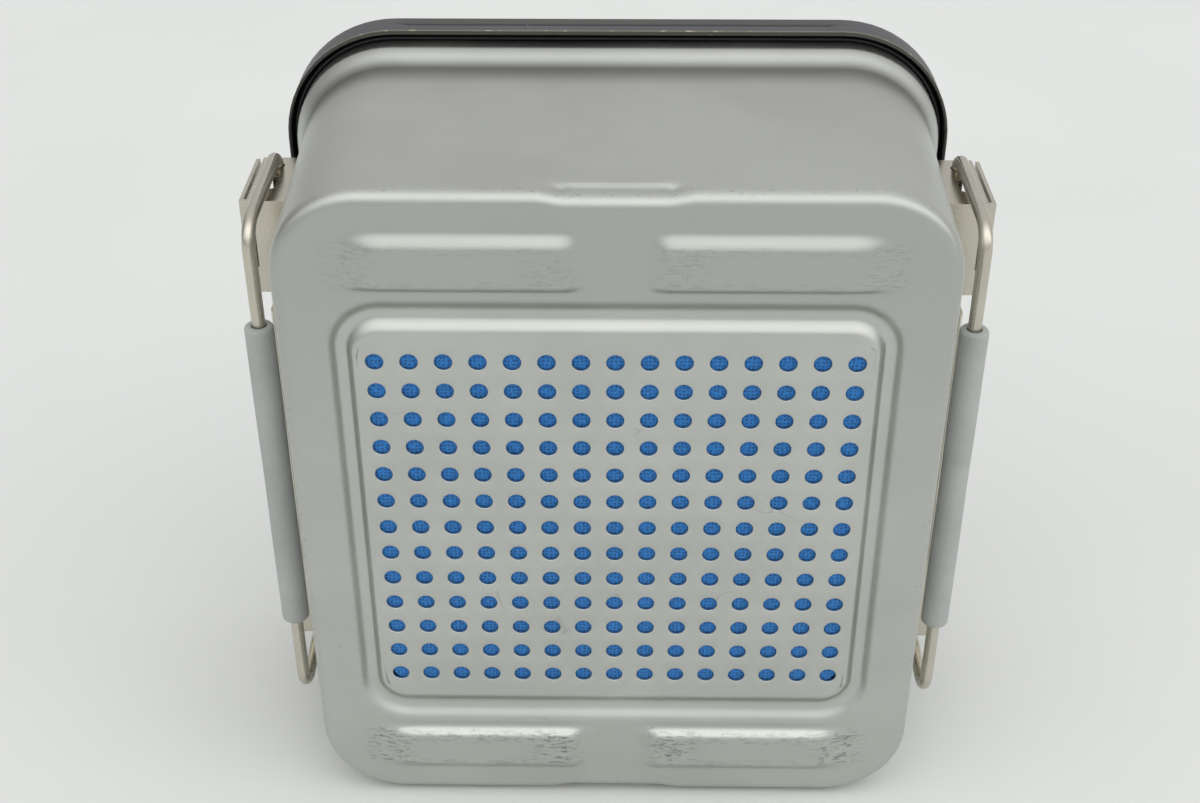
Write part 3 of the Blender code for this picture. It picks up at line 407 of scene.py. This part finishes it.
def make_gasket(finish):
    """Seal above the rim, with a rounded lip that hangs down between the rim and the skirt."""
    seal_in, edge, taper = 0.0030, 0.0006, 0.0002
    plan, skin = LoopPlan(HOLE_COLUMNS, HOLE_ROWS, 2), Skin()
    low, top = RIM_Z + GAP, LID_TOP - SHEET - GAP
    lip_in, lip_out = FLANGE_OFFSET + 0.0004, LID_OFFSET - SHEET - 0.0013
    middle, half = 0.5 * (lip_in + lip_out), 0.5 * (lip_out - lip_in)
    lip_z = SKIRT_Z + 0.002 + half
    section = [(seal_in, low), (lip_in - edge, low), (lip_in, low - edge), (lip_in, lip_z)]
    section += arc((middle, lip_z), half, math.pi, 2.0 * math.pi, HEM_STEPS)[1:]
    section += [(lip_out - taper, LID_TOP - SHOULDER_RADIUS - 0.001), (lip_out - 0.002, top), (seal_in, top)]
    rings = []
    for offset, z in section:
        loop = plan.points(HALF_X + offset, HALF_Y + offset, CORNER_RADIUS + offset)
        rings.append(skin.ring([(x, y, z) for x, y in loop]))
    skin.bridge_all(rings + rings[:1])
    return add_piece("lid_seal", skin, "lid", ["lid_gasket"], finish, sharp=50.0)


# ---------------------------------------------------------------- handles
def handle_path(steps):
    """Centre line (y, z) of the bail: in through one bracket and out of the other."""
    end_chamfer, straight_y = 0.0008, 0.096
    half = [(ROD_END_Y, PIVOT_Z), (ROD_END_Y + end_chamfer, PIVOT_Z), (straight_y, PIVOT_Z)]
    half += arc((ROD_ARM_Y - ROD_END_BEND, PIVOT_Z - ROD_END_BEND), ROD_END_BEND, 0.5 * math.pi, 0.0, steps)
    half += [(ROD_ARM_Y, mix(PIVOT_Z - ROD_END_BEND, ROD_RUN_Z + ROD_CORNER, i / 4)) for i in (1, 2, 3)]
    half += arc((ROD_ARM_Y - ROD_CORNER, ROD_RUN_Z + ROD_CORNER), ROD_CORNER, 0.0, -0.5 * math.pi, steps)
    half += [(0.5 * GRIP_HALF, ROD_RUN_Z)]
    return half + [(-y, z) for y, z in reversed(half)]


def make_rod(side, sx, finish):
    skin, path, end_inset = Skin(), handle_path(12), 0.0007
    rings = []
    for i, (y, z) in enumerate(path):
        before, after = path[max(i - 1, 0)], path[min(i + 1, len(path) - 1)]
        direction = math.atan2(after[1] - before[1], after[0] - before[0])
        radius = ROD_RADIUS - (end_inset if i in (0, len(path) - 1) else 0.0)
        points = []
        for k in range(ROD_SIDES):
            angle = 2.0 * math.pi * k / ROD_SIDES
            out = radius * math.cos(angle)
            points.append((sx * PIVOT_X + radius * math.sin(angle),
                           y - out * math.sin(direction), z + out * math.cos(direction)))
        rings.append(skin.ring(points))
    skin.bridge_all(rings)
    skin.close(rings)
    return add_piece(f"bail_{side}", skin, f"handle_{side}_bail", [f"handle_rod_{side}"],
                     finish, sharp=30.0)


def turned(skin, profile, sides, centre, axis):
    """Turn a (radius, height) profile round an axis through centre, and return its rings."""
    rings = []
    for radius, height in profile:
        points = []
        for k in range(sides):
            angle = 2.0 * math.pi * k / sides
            place = [radius * math.cos(angle), radius * math.sin(angle)]
            place.insert(axis, height)
            points.append(tuple(Vector(place) + Vector(centre)))
        rings.append(skin.ring(points))
    skin.bridge_all(rings)
    return rings


def make_grip(side, sx, finish):
    """Moulded sleeve with rounded ends, slightly thinner in the middle."""
    skin, edge, bore = Skin(), 0.0014, ROD_RADIUS + 0.0001
    waist, bore_flare = 0.00015, (0.0004, 0.0006)
    half = [(GRIP_RADIUS - waist, 0.0), (GRIP_RADIUS, 0.4 * GRIP_HALF), (GRIP_RADIUS, GRIP_HALF - 0.004)]
    half += arc((GRIP_RADIUS - edge, GRIP_HALF - edge), edge, 0.0, 0.5 * math.pi, 5)
    half += [(bore + bore_flare[0], GRIP_HALF), (bore, GRIP_HALF - bore_flare[1])]
    profile = [(radius, -height) for radius, height in reversed(half)] + half[1:]
    turned(skin, profile + profile[:1], GRIP_SIDES, (sx * PIVOT_X, 0.0, ROD_RUN_Z), 1)
    return add_piece(f"grip_sleeve_{side}", skin, f"handle_{side}_bail", [f"grip_{side}"],
                     finish, sharp=40.0)


# ---------------------------------------------------------------- rivets, pins and push nuts
def make_rivet(node, body, place, reach, sizes, finish):
    """Domed rivet through two sheets.

    place is its side (-1 or 1), y and z; reach is the x of its closed end's seat and of its head's
    seat; sizes are the head's radius and height and the shank's radius.
    """
    (sx, y, z), (tail, seat), (head, rise, shank) = place, reach, sizes
    rim = 0.12 * rise
    closed_end = [(AXIS_HOLE, 0.7), (0.55 * head, 0.66), (0.85 * head, 0.4), (0.88 * head, 0.0)]
    profile = [(radius, tail - share * rise) for radius, share in closed_end]
    profile += [(shank, tail), (shank, seat), (head, seat)]
    profile += [(head * math.cos(turn), seat + rim + (rise - rim) * math.sin(turn))
                for turn in (0.0, 0.35, 0.7, 1.05, 1.4)]
    profile.append((AXIS_HOLE, seat + rise))
    skin = Skin()
    skin.close(turned(skin, [(radius, sx * x) for radius, x in profile], RIVET_SIDES, (0.0, y, z), 0))
    return add_piece(f"{node}_body", skin, body, [node], finish, sharp=40.0)


def make_rivets(finish):
    """Rivets of the brackets and catches in the wall, and of the hinge plates in the skirt."""
    wall_sizes, skirt_sizes = (0.0038, 0.0016, 0.0020), (0.0024, 0.0010, 0.0013)
    skirt = HALF_X + LID_OFFSET
    skirt_reach = (skirt - SHEET - GAP, skirt + HINGE_SHEET + 2.0 * GAP)
    for side, sx in SIDES:
        for end, sy in ENDS:
            corner = f"{side}_{end}"
            wall = [(f"bracket_rivet_{corner}_{i + 1}", y, BRACKET_RIVET_Z, BRACKET_SEAT)
                    for i, y in enumerate(BRACKET_RIVET_Y)]
            wall.append((f"catch_rivet_{corner}", CATCH_RIVET_Y, CATCH_RIVET_Z, CATCH_SEAT))
            for node, y, z, seat in wall:
                tail = HALF_X + wall_offset(z) - SHEET - 0.0005
                make_rivet(node, "base", (sx, sy * y, z), (tail, seat), wall_sizes, finish)
            make_rivet(f"latch_rivet_{corner}", "lid", (sx, sy * LATCH_RIVET_Y, LATCH_RIVET_Z), skirt_reach,
                       skirt_sizes, finish)


def make_pins(finish):
    """Hinge pins of the latches."""
    bevel = 0.0003
    half = [(AXIS_HOLE, PIN_HALF), (PIN_RADIUS - bevel, PIN_HALF), (PIN_RADIUS, PIN_HALF - bevel)]
    profile = [(radius, -y) for radius, y in half] + half[::-1]
    for side, sx in SIDES:
        skin = Skin()
        skin.close(turned(skin, profile, ROD_SIDES, (sx * HINGE_X, 0.0, HINGE_Z), 1))
        add_piece(f"hinge_pin_{side}", skin, "lid", [f"latch_pin_{side}"], finish)


def make_push_nuts(finish):
    """Dished push nuts that keep the bails in their brackets."""
    bore, root, dish, rim = ROD_RADIUS + 0.0002, 0.0035, 0.0003, 0.0050
    inner, outer = NUT_Y, NUT_Y + 0.0012
    profile = [(bore, inner), (root - 0.0001, inner - dish), (rim - dish, inner), (rim, inner + dish),
               (rim, outer), (root + 0.0001, outer - dish), (bore, outer), (bore, inner)]
    for side, sx in SIDES:
        for end, sy in ENDS:
            skin = Skin()
            turned(skin, [(radius, sy * y) for radius, y in profile], NUT_SIDES,
                   (sx * PIVOT_X, 0.0, PIVOT_Z), 1)
            add_piece(f"lock_ring_{side}_{end}", skin, f"handle_{side}_bail", [f"push_nut_{side}_{end}"],
                      finish)


# ---------------------------------------------------------------- filters
def make_filter(name, body, half, z, finish):
    """Sheet of nonwoven with a slight swell between its supports."""
    thick, clearance, loops, middle_radius = 0.0003, 0.00015, 24, 0.0005
    swell, waves = 0.00016, ((55.0, 7.0, 1.0), (160.0, 2.0, 0.4))    # waves: per metre, seed and share
    skin, plan = Skin(), LoopPlan(6, 5, 3)
    borders = []
    for lift in (clearance, clearance + thick):
        rings = []
        for i in range(loops + 1):
            share = (i + 1) / (loops + 1)
            radius = max(middle_radius, FILTER_CORNER * share)
            points = []
            for x, y in plan.points(half[0] * share, half[1] * share, radius):
                wave = sum(part * noise.noise(Vector((x * rate, y * rate, seed)))
                           for rate, seed, part in waves)
                points.append((x, y, z + lift + swell * wave))
            rings.append(skin.ring(points))
        skin.bridge_all(rings)
        middle = skin.ring([(0.0, 0.0, z + lift)])[0]
        first = rings[0]
        for k in range(len(first)):
            skin.faces.append((first[k], first[(k + 1) % len(first)], middle))
        borders.append(rings[-1])
    skin.bridge(*borders)
    piece = add_piece(f"{name}_sheet", skin, body, [name], finish, sharp=60.0)
    return piece


# ---------------------------------------------------------------- materials
class Finish:
    """One procedural material, with short ways to add and join its nodes.

    x, y, z and point are the place in the container's axes.  The colour and the roughness are
    built up step by step, and done() feeds them to the shader.
    """

    def __init__(self, name, metallic=0.0):
        self.material = bpy.data.materials.new(name)
        self.material.use_nodes = True
        self.tree = self.material.node_tree
        self.shader = self.tree.nodes["Principled BSDF"]
        self.shader.inputs["Metallic"].default_value = metallic
        self.colour = self.roughness = self.height = None
        mapping = self.node("ShaderNodeMapping", vector_type="TEXTURE")
        mapping.inputs["Location"].default_value = PLACE.translation
        mapping.inputs["Rotation"].default_value = PLACE.to_euler()
        self.join(self.node("ShaderNodeTexCoord").outputs["Object"], mapping.inputs["Vector"])
        self.point = mapping.outputs["Vector"]
        parts = self.node("ShaderNodeSeparateXYZ")
        self.join(self.point, parts.inputs[0])
        self.x, self.y, self.z = parts.outputs

    def node(self, kind, **settings):
        made = self.tree.nodes.new(kind)
        for key, value in settings.items():
            setattr(made, key, value)
        return made

    def join(self, source, target):
        """Feed a socket from another socket, or set it to a plain value."""
        if isinstance(source, bpy.types.NodeSocket):
            self.tree.links.new(source, target)
        else:
            target.default_value = source

    def maths(self, operation, first, *others):
        """Apply the operation to the values from left to right; each is a socket or a number."""
        for other in others or (0.0,):
            made = self.node("ShaderNodeMath", operation=operation)
            self.join(first, made.inputs[0])
            self.join(other, made.inputs[1])
            first = made.outputs[0]
        return first

    def times(self, *values):
        return self.maths("MULTIPLY", *values)

    def plus(self, *values):
        return self.maths("ADD", *values)

    def minus(self, *values):
        return self.maths("SUBTRACT", *values)

    def larger(self, *values):
        return self.maths("MAXIMUM", *values)

    def size(self, value):
        return self.maths("ABSOLUTE", value)

    def range(self, value, low, high, new_low=0.0, new_high=1.0):
        made = self.node("ShaderNodeMapRange", interpolation_type="SMOOTHSTEP")
        for source, target in zip((value, low, high, new_low, new_high), made.inputs):
            self.join(source, target)
        return made.outputs["Result"]

    def band(self, value, rise, fall):
        """1 between two limits, with a soft rise before it and a soft fall after it."""
        return self.times(self.range(value, rise[0], rise[1]), self.range(value, fall[1], fall[0]))

    def scaled(self, sizes):
        """The point measured in units of the given sizes along x, y and z."""
        mapping = self.node("ShaderNodeMapping")
        mapping.inputs["Scale"].default_value = [1.0 / size for size in sizes]
        self.join(self.point, mapping.inputs["Vector"])
        return mapping.outputs["Vector"]

    def noise(self, sizes, detail=2.0, roughness=0.55, distortion=0.0):
        """Noise from 0 to 1 around 0.5, with features as large as sizes: one size or three."""
        made = self.node("ShaderNodeTexNoise")
        self.join(self.scaled(sizes if isinstance(sizes, tuple) else (sizes,) * 3), made.inputs["Vector"])
        made.inputs["Scale"].default_value = 1.0
        made.inputs["Detail"].default_value = detail
        made.inputs["Roughness"].default_value = roughness
        made.inputs["Distortion"].default_value = distortion
        return made.outputs["Fac"]

    def marks(self, sizes, cut, **settings):
        """Separate marks, where a noise passes the two values of cut."""
        return self.range(self.noise(sizes, **settings), *cut)

    def blend(self, share, first, second):
        made = self.node("ShaderNodeMix", data_type="RGBA")
        self.join(share, made.inputs[0])
        for value, target in ((first, made.inputs[6]), (second, made.inputs[7])):
            self.join(value if isinstance(value, bpy.types.NodeSocket) else (*value, 1.0), target)
        return made.outputs[2]

    def tint(self, share, colour, strength=1.0):
        """Lay another colour over what is there, by share."""
        self.colour = self.blend(self.times(share, strength), self.colour, colour)

    def clouds(self, size, tone, shades, detail=4.0, spread=0.2):
        """Start the colour as soft clouds between two shades of the tone; returns the clouds."""
        cloud = self.noise(size, detail)
        dark, light = shades
        share = self.range(cloud, 0.5 - spread, 0.5 + spread)
        self.colour = self.blend(share, shift(tone, dark), shift(tone, light))
        return cloud

    def bump(self, value, depth):
        """Add relief of the given depth in metres, for a value from 0 to 1."""
        lift = self.times(value, depth)
        self.height = lift if self.height is None else self.plus(self.height, lift)

    def surface(self, cloud, roughness, grain, share, depth, spread=0.2):
        """Roughness that follows the clouds between two limits and the grain, which is relief too."""
        slow = self.range(cloud, 0.5 - spread, 0.5 + spread, *roughness)
        self.roughness = self.plus(slow, self.times(grain, share))
        self.bump(grain, depth)

    def done(self):
        self.join(self.colour, self.shader.inputs["Base Color"])
        self.join(self.roughness, self.shader.inputs["Roughness"])
        if self.height is not None:
            relief = self.node("ShaderNodeBump")
            relief.inputs["Strength"].default_value = 1.0
            relief.inputs["Distance"].default_value = 1.0
            self.join(self.height, relief.inputs["Height"])
            self.join(relief.outputs["Normal"], self.shader.inputs["Normal"])
        return self.material


def shift(colour, factor):
    return tuple(min(1.0, channel * factor) for channel in colour)


def base_finish():
    """Worn satin anodised aluminium, with scuffs round the feet and fine scratches on the plate."""
    tone = (0.538, 0.550, 0.517)
    scuff, glint, speck, chip = (0.12, 0.12, 0.11), (0.93, 0.93, 0.90), (0.07, 0.07, 0.06), (0.16, 0.16, 0.15)
    f = Finish("worn_satin_aluminium", metallic=1.0)
    cloud = f.clouds(0.055, tone, shades=(0.95, 1.04))
    drawn = f.noise((0.022, 0.0006, 0.0006), detail=3.0)
    f.tint(f.range(drawn, 0.52, 0.72, 0.0, 0.14), shift(tone, 0.82))

    # Scuffs on the outer and inner ends of the foot pads, fewer along their middles
    away_x, away_y = f.size(f.x), f.size(f.y)
    on_plate = f.range(f.z, 0.004, 0.002)
    near_pads = f.times(f.band(away_x, rise=(0.010, 0.020), fall=(0.094, 0.104)),
                        f.band(away_y, rise=(0.1000, 0.1030), fall=(0.1180, 0.1205)))
    middle_x = f.band(away_x, rise=(0.026, 0.036), fall=(0.076, 0.088))
    middle_y = f.band(away_y, rise=(0.1050, 0.1070), fall=(0.1140, 0.1165))
    calm = f.times(middle_x, f.plus(f.times(middle_y, 0.5), 0.45))
    scuffed = f.times(near_pads, f.minus(1.0, calm), on_plate)
    strokes = f.marks((0.0042, 0.0011, 0.002), (0.51, 0.60), detail=4.0, roughness=0.70, distortion=0.4)
    f.tint(f.times(scuffed, strokes), scuff, strength=0.75)
    bright = f.marks((0.0050, 0.0009, 0.002), (0.66, 0.70), roughness=0.5, distortion=0.6)
    f.tint(f.times(scuffed, bright), glint, strength=0.30)

    # Specks and chips round the bottom edge
    outskirts = f.range(f.larger(f.minus(away_x, 0.097), f.minus(away_y, 0.094)), 0.0, 0.004)
    specks = f.marks((0.0024, 0.0010, 0.0012), (0.70, 0.75), roughness=0.5)
    f.tint(f.times(specks, outskirts, f.range(f.z, 0.012, 0.004)), speck, strength=0.45)
    edge = f.band(f.z, rise=(0.0001, 0.0012), fall=(0.0030, 0.0060))
    chips = f.marks((0.0020, 0.0020, 0.0010), (0.60, 0.66))
    f.tint(f.times(edge, outskirts, chips), chip, strength=0.35)

    # Shade in the fold below the flare, and a darker upper part of the frame round the panel
    fold = f.band(f.z, rise=(0.084, 0.1000), fall=(0.1005, 0.1065))
    f.tint(fold, shift(tone, 0.12), strength=0.58)
    past_panel = f.larger(f.minus(away_x, PANEL_EDGE[0]), f.minus(away_y, PANEL_EDGE[1]))
    on_frame = f.times(on_plate, f.range(past_panel, 0.002, 0.008))
    upward = f.plus(f.times(f.range(f.y, 0.020, -0.130), 0.55), 0.25)
    f.tint(f.times(on_frame, upward), shift(tone, 0.80))

    on_panel = f.times(on_plate, f.range(past_panel, 0.0, -0.006))
    f.tint(f.times(scratches(f, length=0.060, width=0.0030), on_panel), shift(tone, 0.45), strength=0.30)
    f.surface(cloud, roughness=(0.31, 0.39), grain=f.noise(0.00035), share=0.06, depth=0.000012, spread=0.25)
    f.bump(f.noise(0.0016), depth=0.000010)
    return f.done()


def scratches(f, length, width):
    """Thin curved scratches: where a slow noise crosses its middle, broken up by a second one."""
    field = f.noise((length, 0.6 * length, length), roughness=0.4, distortion=0.5)
    thin = f.range(f.size(f.minus(field, 0.5)), width, 0.0)
    return f.times(thin, f.marks(0.02, (0.54, 0.62)))


def lid_finish():
    """Dark grey anodised aluminium, worn through to the metal here and there along the skirt's lower edge,
    with a painted highlight on the shoulder.
    """
    tone = (0.078, 0.082, 0.075)
    lavender_reflection, olive, brass = (0.105, 0.104, 0.118), (0.030, 0.030, 0.012), (0.80, 0.74, 0.50)
    shoulder_highlight, shade, speck = (0.62, 0.62, 0.50), (0.018, 0.019, 0.040), (0.45, 0.44, 0.38)
    f = Finish("grey_anodised_aluminium", metallic=0.6)
    cloud = f.clouds(0.04, tone, shades=(0.88, 1.1))

    away_x, away_y = f.size(f.x), f.size(f.y)
    past_x = f.larger(f.minus(away_x, HALF_X - CORNER_RADIUS), 0.0)
    past_y = f.larger(f.minus(away_y, HALF_Y - CORNER_RADIUS), 0.0)
    from_corner = f.maths("SQRT", f.plus(f.times(past_x, past_x), f.times(past_y, past_y)))
    from_skirt = f.minus(from_corner, CORNER_RADIUS + LID_OFFSET)
    on_skirt = f.range(from_skirt, -0.0006, -0.0002)

    # Painted reflection: a lighter, purplish skirt below its pressed line and round the corners; then a dark
    # hem
    below_line = f.range(f.z, SKIRT_GROOVE_Z + 0.001, SKIRT_GROOVE_Z - 0.001)
    at_corners = f.range(away_x, SKIRT_GROOVE_END, SKIRT_GROOVE_END + 0.010)
    f.tint(f.times(on_skirt, f.larger(below_line, at_corners)), lavender_reflection, strength=0.8)
    f.tint(f.times(on_skirt, f.range(f.z, SKIRT_Z + 0.0022, SKIRT_Z + 0.0017)), olive, strength=0.85)

    # Line of worn-through anodising above the hem, bright where it is chipped, and a painted highlight along
    # the shoulder
    line = f.band(f.z, rise=(SKIRT_Z + 0.0014, SKIRT_Z + 0.0019), fall=(SKIRT_Z + 0.0022, SKIRT_Z + 0.0028))
    chips = f.marks((0.0060, 0.0060, 0.0040), (0.56, 0.66), detail=3.0, roughness=0.6)
    f.tint(f.times(on_skirt, line, f.plus(f.times(chips, 0.65), 0.22)), brass)
    # Painted highlight: a pale band along the shoulder's outermost edge
    outermost = f.range(from_skirt, -0.0042, -0.0020)
    f.tint(f.times(outermost, f.range(f.z, LID_TOP - 0.0030, LID_TOP - 0.0012)), shoulder_highlight, strength=0.30)

    # Shade in the pressed line
    in_line = f.times(f.range(f.size(f.minus(f.z, SKIRT_GROOVE_Z)), 0.0010, 0.0007),
                      f.range(away_x, SKIRT_GROOVE_END + 0.002, SKIRT_GROOVE_END),
                      f.range(away_y, HALF_Y + LID_OFFSET - 0.002, HALF_Y + LID_OFFSET - 0.0015))
    f.tint(in_line, shade, strength=0.85)
    f.tint(f.marks(0.0014, (0.76, 0.80), detail=1.0), speck, strength=0.5)
    f.surface(cloud, roughness=(0.36, 0.46), grain=f.noise(0.0003), share=0.06, depth=0.000010)
    return f.done()


def steel_finish(name, tone, roughness, along):
    """Satin steel with fine lines in the direction it was ground: 0 for x, 1 for y."""
    fine, long = 0.0003, 0.012
    f = Finish(name, metallic=1.0)
    lines = f.noise(tuple(long if axis == along else fine for axis in range(3)), detail=3.0, roughness=0.6)
    cloud = f.clouds(0.012, tone, shades=(0.95, 1.03), detail=3.0)
    f.tint(f.range(lines, 0.5, 0.75, 0.0, 0.25), shift(tone, 0.72))
    f.surface(cloud, roughness=(roughness - 0.04, roughness + 0.04), grain=lines, share=0.08, depth=0.000006)
    return f.done()


def rivet_finish():
    """Aluminium with the small dents and dull spots of a set rivet."""
    tone = (0.55, 0.56, 0.55)
    f = Finish("rivet_aluminium", metallic=1.0)
    worn = f.clouds(0.0012, tone, shades=(0.8, 1.1), detail=3.0, spread=0.15)
    f.roughness = f.range(worn, 0.3, 0.7, 0.28, 0.44)
    f.bump(worn, depth=0.00002)
    return f.done()


def silicone_finish(name, tone, roughness, dust):
    """Moulded silicone: matt, finely grained, with a little dust."""
    f = Finish(name)
    cloud = f.clouds(0.02, tone, shades=(0.93, 1.07))
    f.tint(f.marks(0.0009, (0.68, 0.80)), shift(tone, 1.9), strength=dust)
    f.surface(cloud, roughness=(roughness - 0.05, roughness), grain=f.noise(0.0004), share=0.1, depth=0.00003)
    f.shader.inputs["IOR"].default_value = 1.43
    return f.done()


def nonwoven_finish():
    """Blue spunbond sheet: fine fibres pressed together at a grid of small dots."""
    tone = (0.019, 0.185, 0.540)
    dot_pitch, dot_edge = 0.0015, (0.42, 0.18)
    f = Finish("blue_nonwoven")
    f.roughness = 0.85
    fibres = f.noise((0.0005, 0.00018, 0.0004), detail=3.0, roughness=0.6, distortion=1.2)
    crossed = f.noise((0.00018, 0.0005, 0.0004), detail=3.0, roughness=0.6, distortion=1.2)
    thick = f.plus(f.times(fibres, 0.5), f.times(crossed, 0.5))
    f.colour = f.blend(f.range(thick, 0.38, 0.62), shift(tone, 0.55), shift(tone, 1.5))
    cells = f.node("ShaderNodeTexVoronoi", feature="F1")
    f.join(f.scaled((dot_pitch,) * 3), cells.inputs["Vector"])
    cells.inputs["Scale"].default_value = 1.0
    cells.inputs["Randomness"].default_value = 0.35
    dots = f.range(cells.outputs["Distance"], *dot_edge)
    f.tint(dots, shift(tone, 0.30), strength=0.8)
    f.bump(f.minus(thick, f.times(dots, 0.6)), depth=0.00012)
    f.shader.inputs["Sheen Weight"].default_value = 0.25
    f.shader.inputs["Sheen Roughness"].default_value = 0.5
    return f.done()


def floor_finish():
    f = Finish("pale_floor")
    f.roughness = 0.6
    f.clouds(0.3, (0.75, 0.765, 0.75), shades=(0.985, 1.015), detail=3.0)
    return f.done()


# ---------------------------------------------------------------- carried-over CAD nodes
def dress(name, finish):
    """Give a CAD node that stays a better material and rounded edges."""
    part = frame["nodes"][name]
    part.data.materials.clear()
    part.data.materials.append(finish)
    weld = part.modifiers.new("weld", "WELD")
    weld.merge_threshold = TOUCHING
    rounded = part.modifiers.new("rounded", "BEVEL")
    rounded.width = FOLD_ROUNDING
    rounded.segments = 2
    rounded.limit_method = "ANGLE"
    rounded.angle_limit = math.radians(25.0)
    rounded.harden_normals = True


def dress_all(steel, retainer_steel):
    for side, _ in SIDES:
        for name in (f"latch_{side}", f"latch_bracket_{side}", f"latch_catch_{side}"):
            dress(name, steel)
        for end, _ in ENDS:
            dress(f"handle_bracket_{side}_{end}", steel)
    for place in ("base", "lid"):
        dress(f"{place}_filter_retainer", retainer_steel)
        for kind in ("bolt", "bolt_guide", "lug"):
            for end, _ in ENDS:
                dress(f"{place}_{kind}_{end}", retainer_steel)


# ---------------------------------------------------------------- surroundings
def make_floor(finish):
    bm = bmesh.new()
    bmesh.ops.create_grid(bm, x_segments=8, y_segments=8, size=FLOOR_HALF)
    mesh = bpy.data.meshes.new("floor")
    bm.to_mesh(mesh)
    bm.free()
    mesh.materials.append(finish)
    floor = bpy.data.objects.new("floor", mesh)
    bpy.context.scene.collection.objects.link(floor)


def make_surroundings():
    """Soft studio light: a broad bright ceiling over the front, dimmer behind it and at the sides."""
    world = bpy.data.worlds.new("studio")
    bpy.context.scene.world = world
    world.use_nodes = True
    tree = world.node_tree
    shade = tree.nodes["Background"]

    def maths(operation, first, second=0.0):
        made = tree.nodes.new("ShaderNodeMath")
        made.operation = operation
        for value, target in ((first, made.inputs[0]), (second, made.inputs[1])):
            if isinstance(value, bpy.types.NodeSocket):
                tree.links.new(value, target)
            else:
                target.default_value = value
        return made.outputs[0]

    parts = tree.nodes.new("ShaderNodeSeparateXYZ")
    tree.links.new(tree.nodes.new("ShaderNodeTexCoord").outputs["Generated"], parts.inputs[0])
    across, depth, height = parts.outputs
    half_turn = maths("ARCTAN2", maths("MAXIMUM", height, 0.0), maths("MULTIPLY", depth, -1.0))
    ramp = tree.nodes.new("ShaderNodeValToRGB")
    tree.links.new(maths("DIVIDE", half_turn, math.pi), ramp.inputs["Fac"])
    elements = ramp.color_ramp.elements
    while len(elements) < len(SKY_LEVELS):
        elements.new(0.5)
    for element, (place, level) in zip(elements, SKY_LEVELS):
        grey = level / SKY_STRENGTH
        element.position = place
        element.color = (grey, grey, grey, 1.0)
    lean = maths("MULTIPLY", maths("MULTIPLY", maths("ABSOLUTE", across), across), SKY_STRENGTH * SIDE_LEAN)
    dimming = maths("MULTIPLY", maths("MULTIPLY", across, across), SKY_STRENGTH * SIDE_DIMMING)
    tree.links.new(ramp.outputs["Color"], shade.inputs["Color"])
    tree.links.new(maths("ADD", maths("SUBTRACT", SKY_STRENGTH, dimming), lean), shade.inputs["Strength"])


def make_camera():
    """Camera in front of the bottom plate, looking down on it."""
    data = bpy.data.cameras.new("camera")
    data.lens, data.sensor_width = CAMERA_LENS, CAMERA_SENSOR
    data.clip_start, data.clip_end = 0.02, 50.0
    camera = bpy.data.objects.new("camera", data)
    bpy.context.scene.collection.objects.link(camera)
    level = math.cos(CAMERA_ELEVATION)
    back = Vector((-math.sin(CAMERA_AZIMUTH) * level, -math.cos(CAMERA_AZIMUTH) * level,
                   math.sin(CAMERA_ELEVATION)))
    camera.location = PLACE @ CAMERA_TARGET + CAMERA_DISTANCE * back
    camera.rotation_euler = (-back).to_track_quat("-Z", "Y").to_euler()
    bpy.context.scene.camera = camera


# ---------------------------------------------------------------- scene
def main():
    steel = steel_finish("satin_stainless_steel", (0.57, 0.54, 0.46), roughness=0.20, along=1)
    retainer_steel = steel_finish("retainer_stainless_steel", (0.60, 0.60, 0.59), roughness=0.34, along=0)
    grey = silicone_finish("grey_silicone", (0.385, 0.400, 0.385), roughness=0.55, dust=0.25)
    black = silicone_finish("black_silicone", (0.010, 0.010, 0.012), roughness=0.5, dust=0.1)
    nonwoven = nonwoven_finish()

    make_base_shell(base_finish())
    make_lid_shell(lid_finish())
    make_gasket(black)
    for side, sx in SIDES:
        make_rod(side, sx, steel)
        make_grip(side, sx, grey)
    make_filter("base_filter", "base", BASE_FILTER, SHEET + GAP, nonwoven)
    make_filter("lid_filter", "lid", LID_FILTER, LID_PANEL_Z - SHEET - GAP - FILTER_SHEET, nonwoven)
    make_rivets(rivet_finish())
    make_pins(steel)
    make_push_nuts(steel)
    dress_all(steel, retainer_steel)

    make_floor(floor_finish())
    make_surroundings()
    make_camera()
    bpy.context.scene.view_settings.view_transform = "Standard"


main()
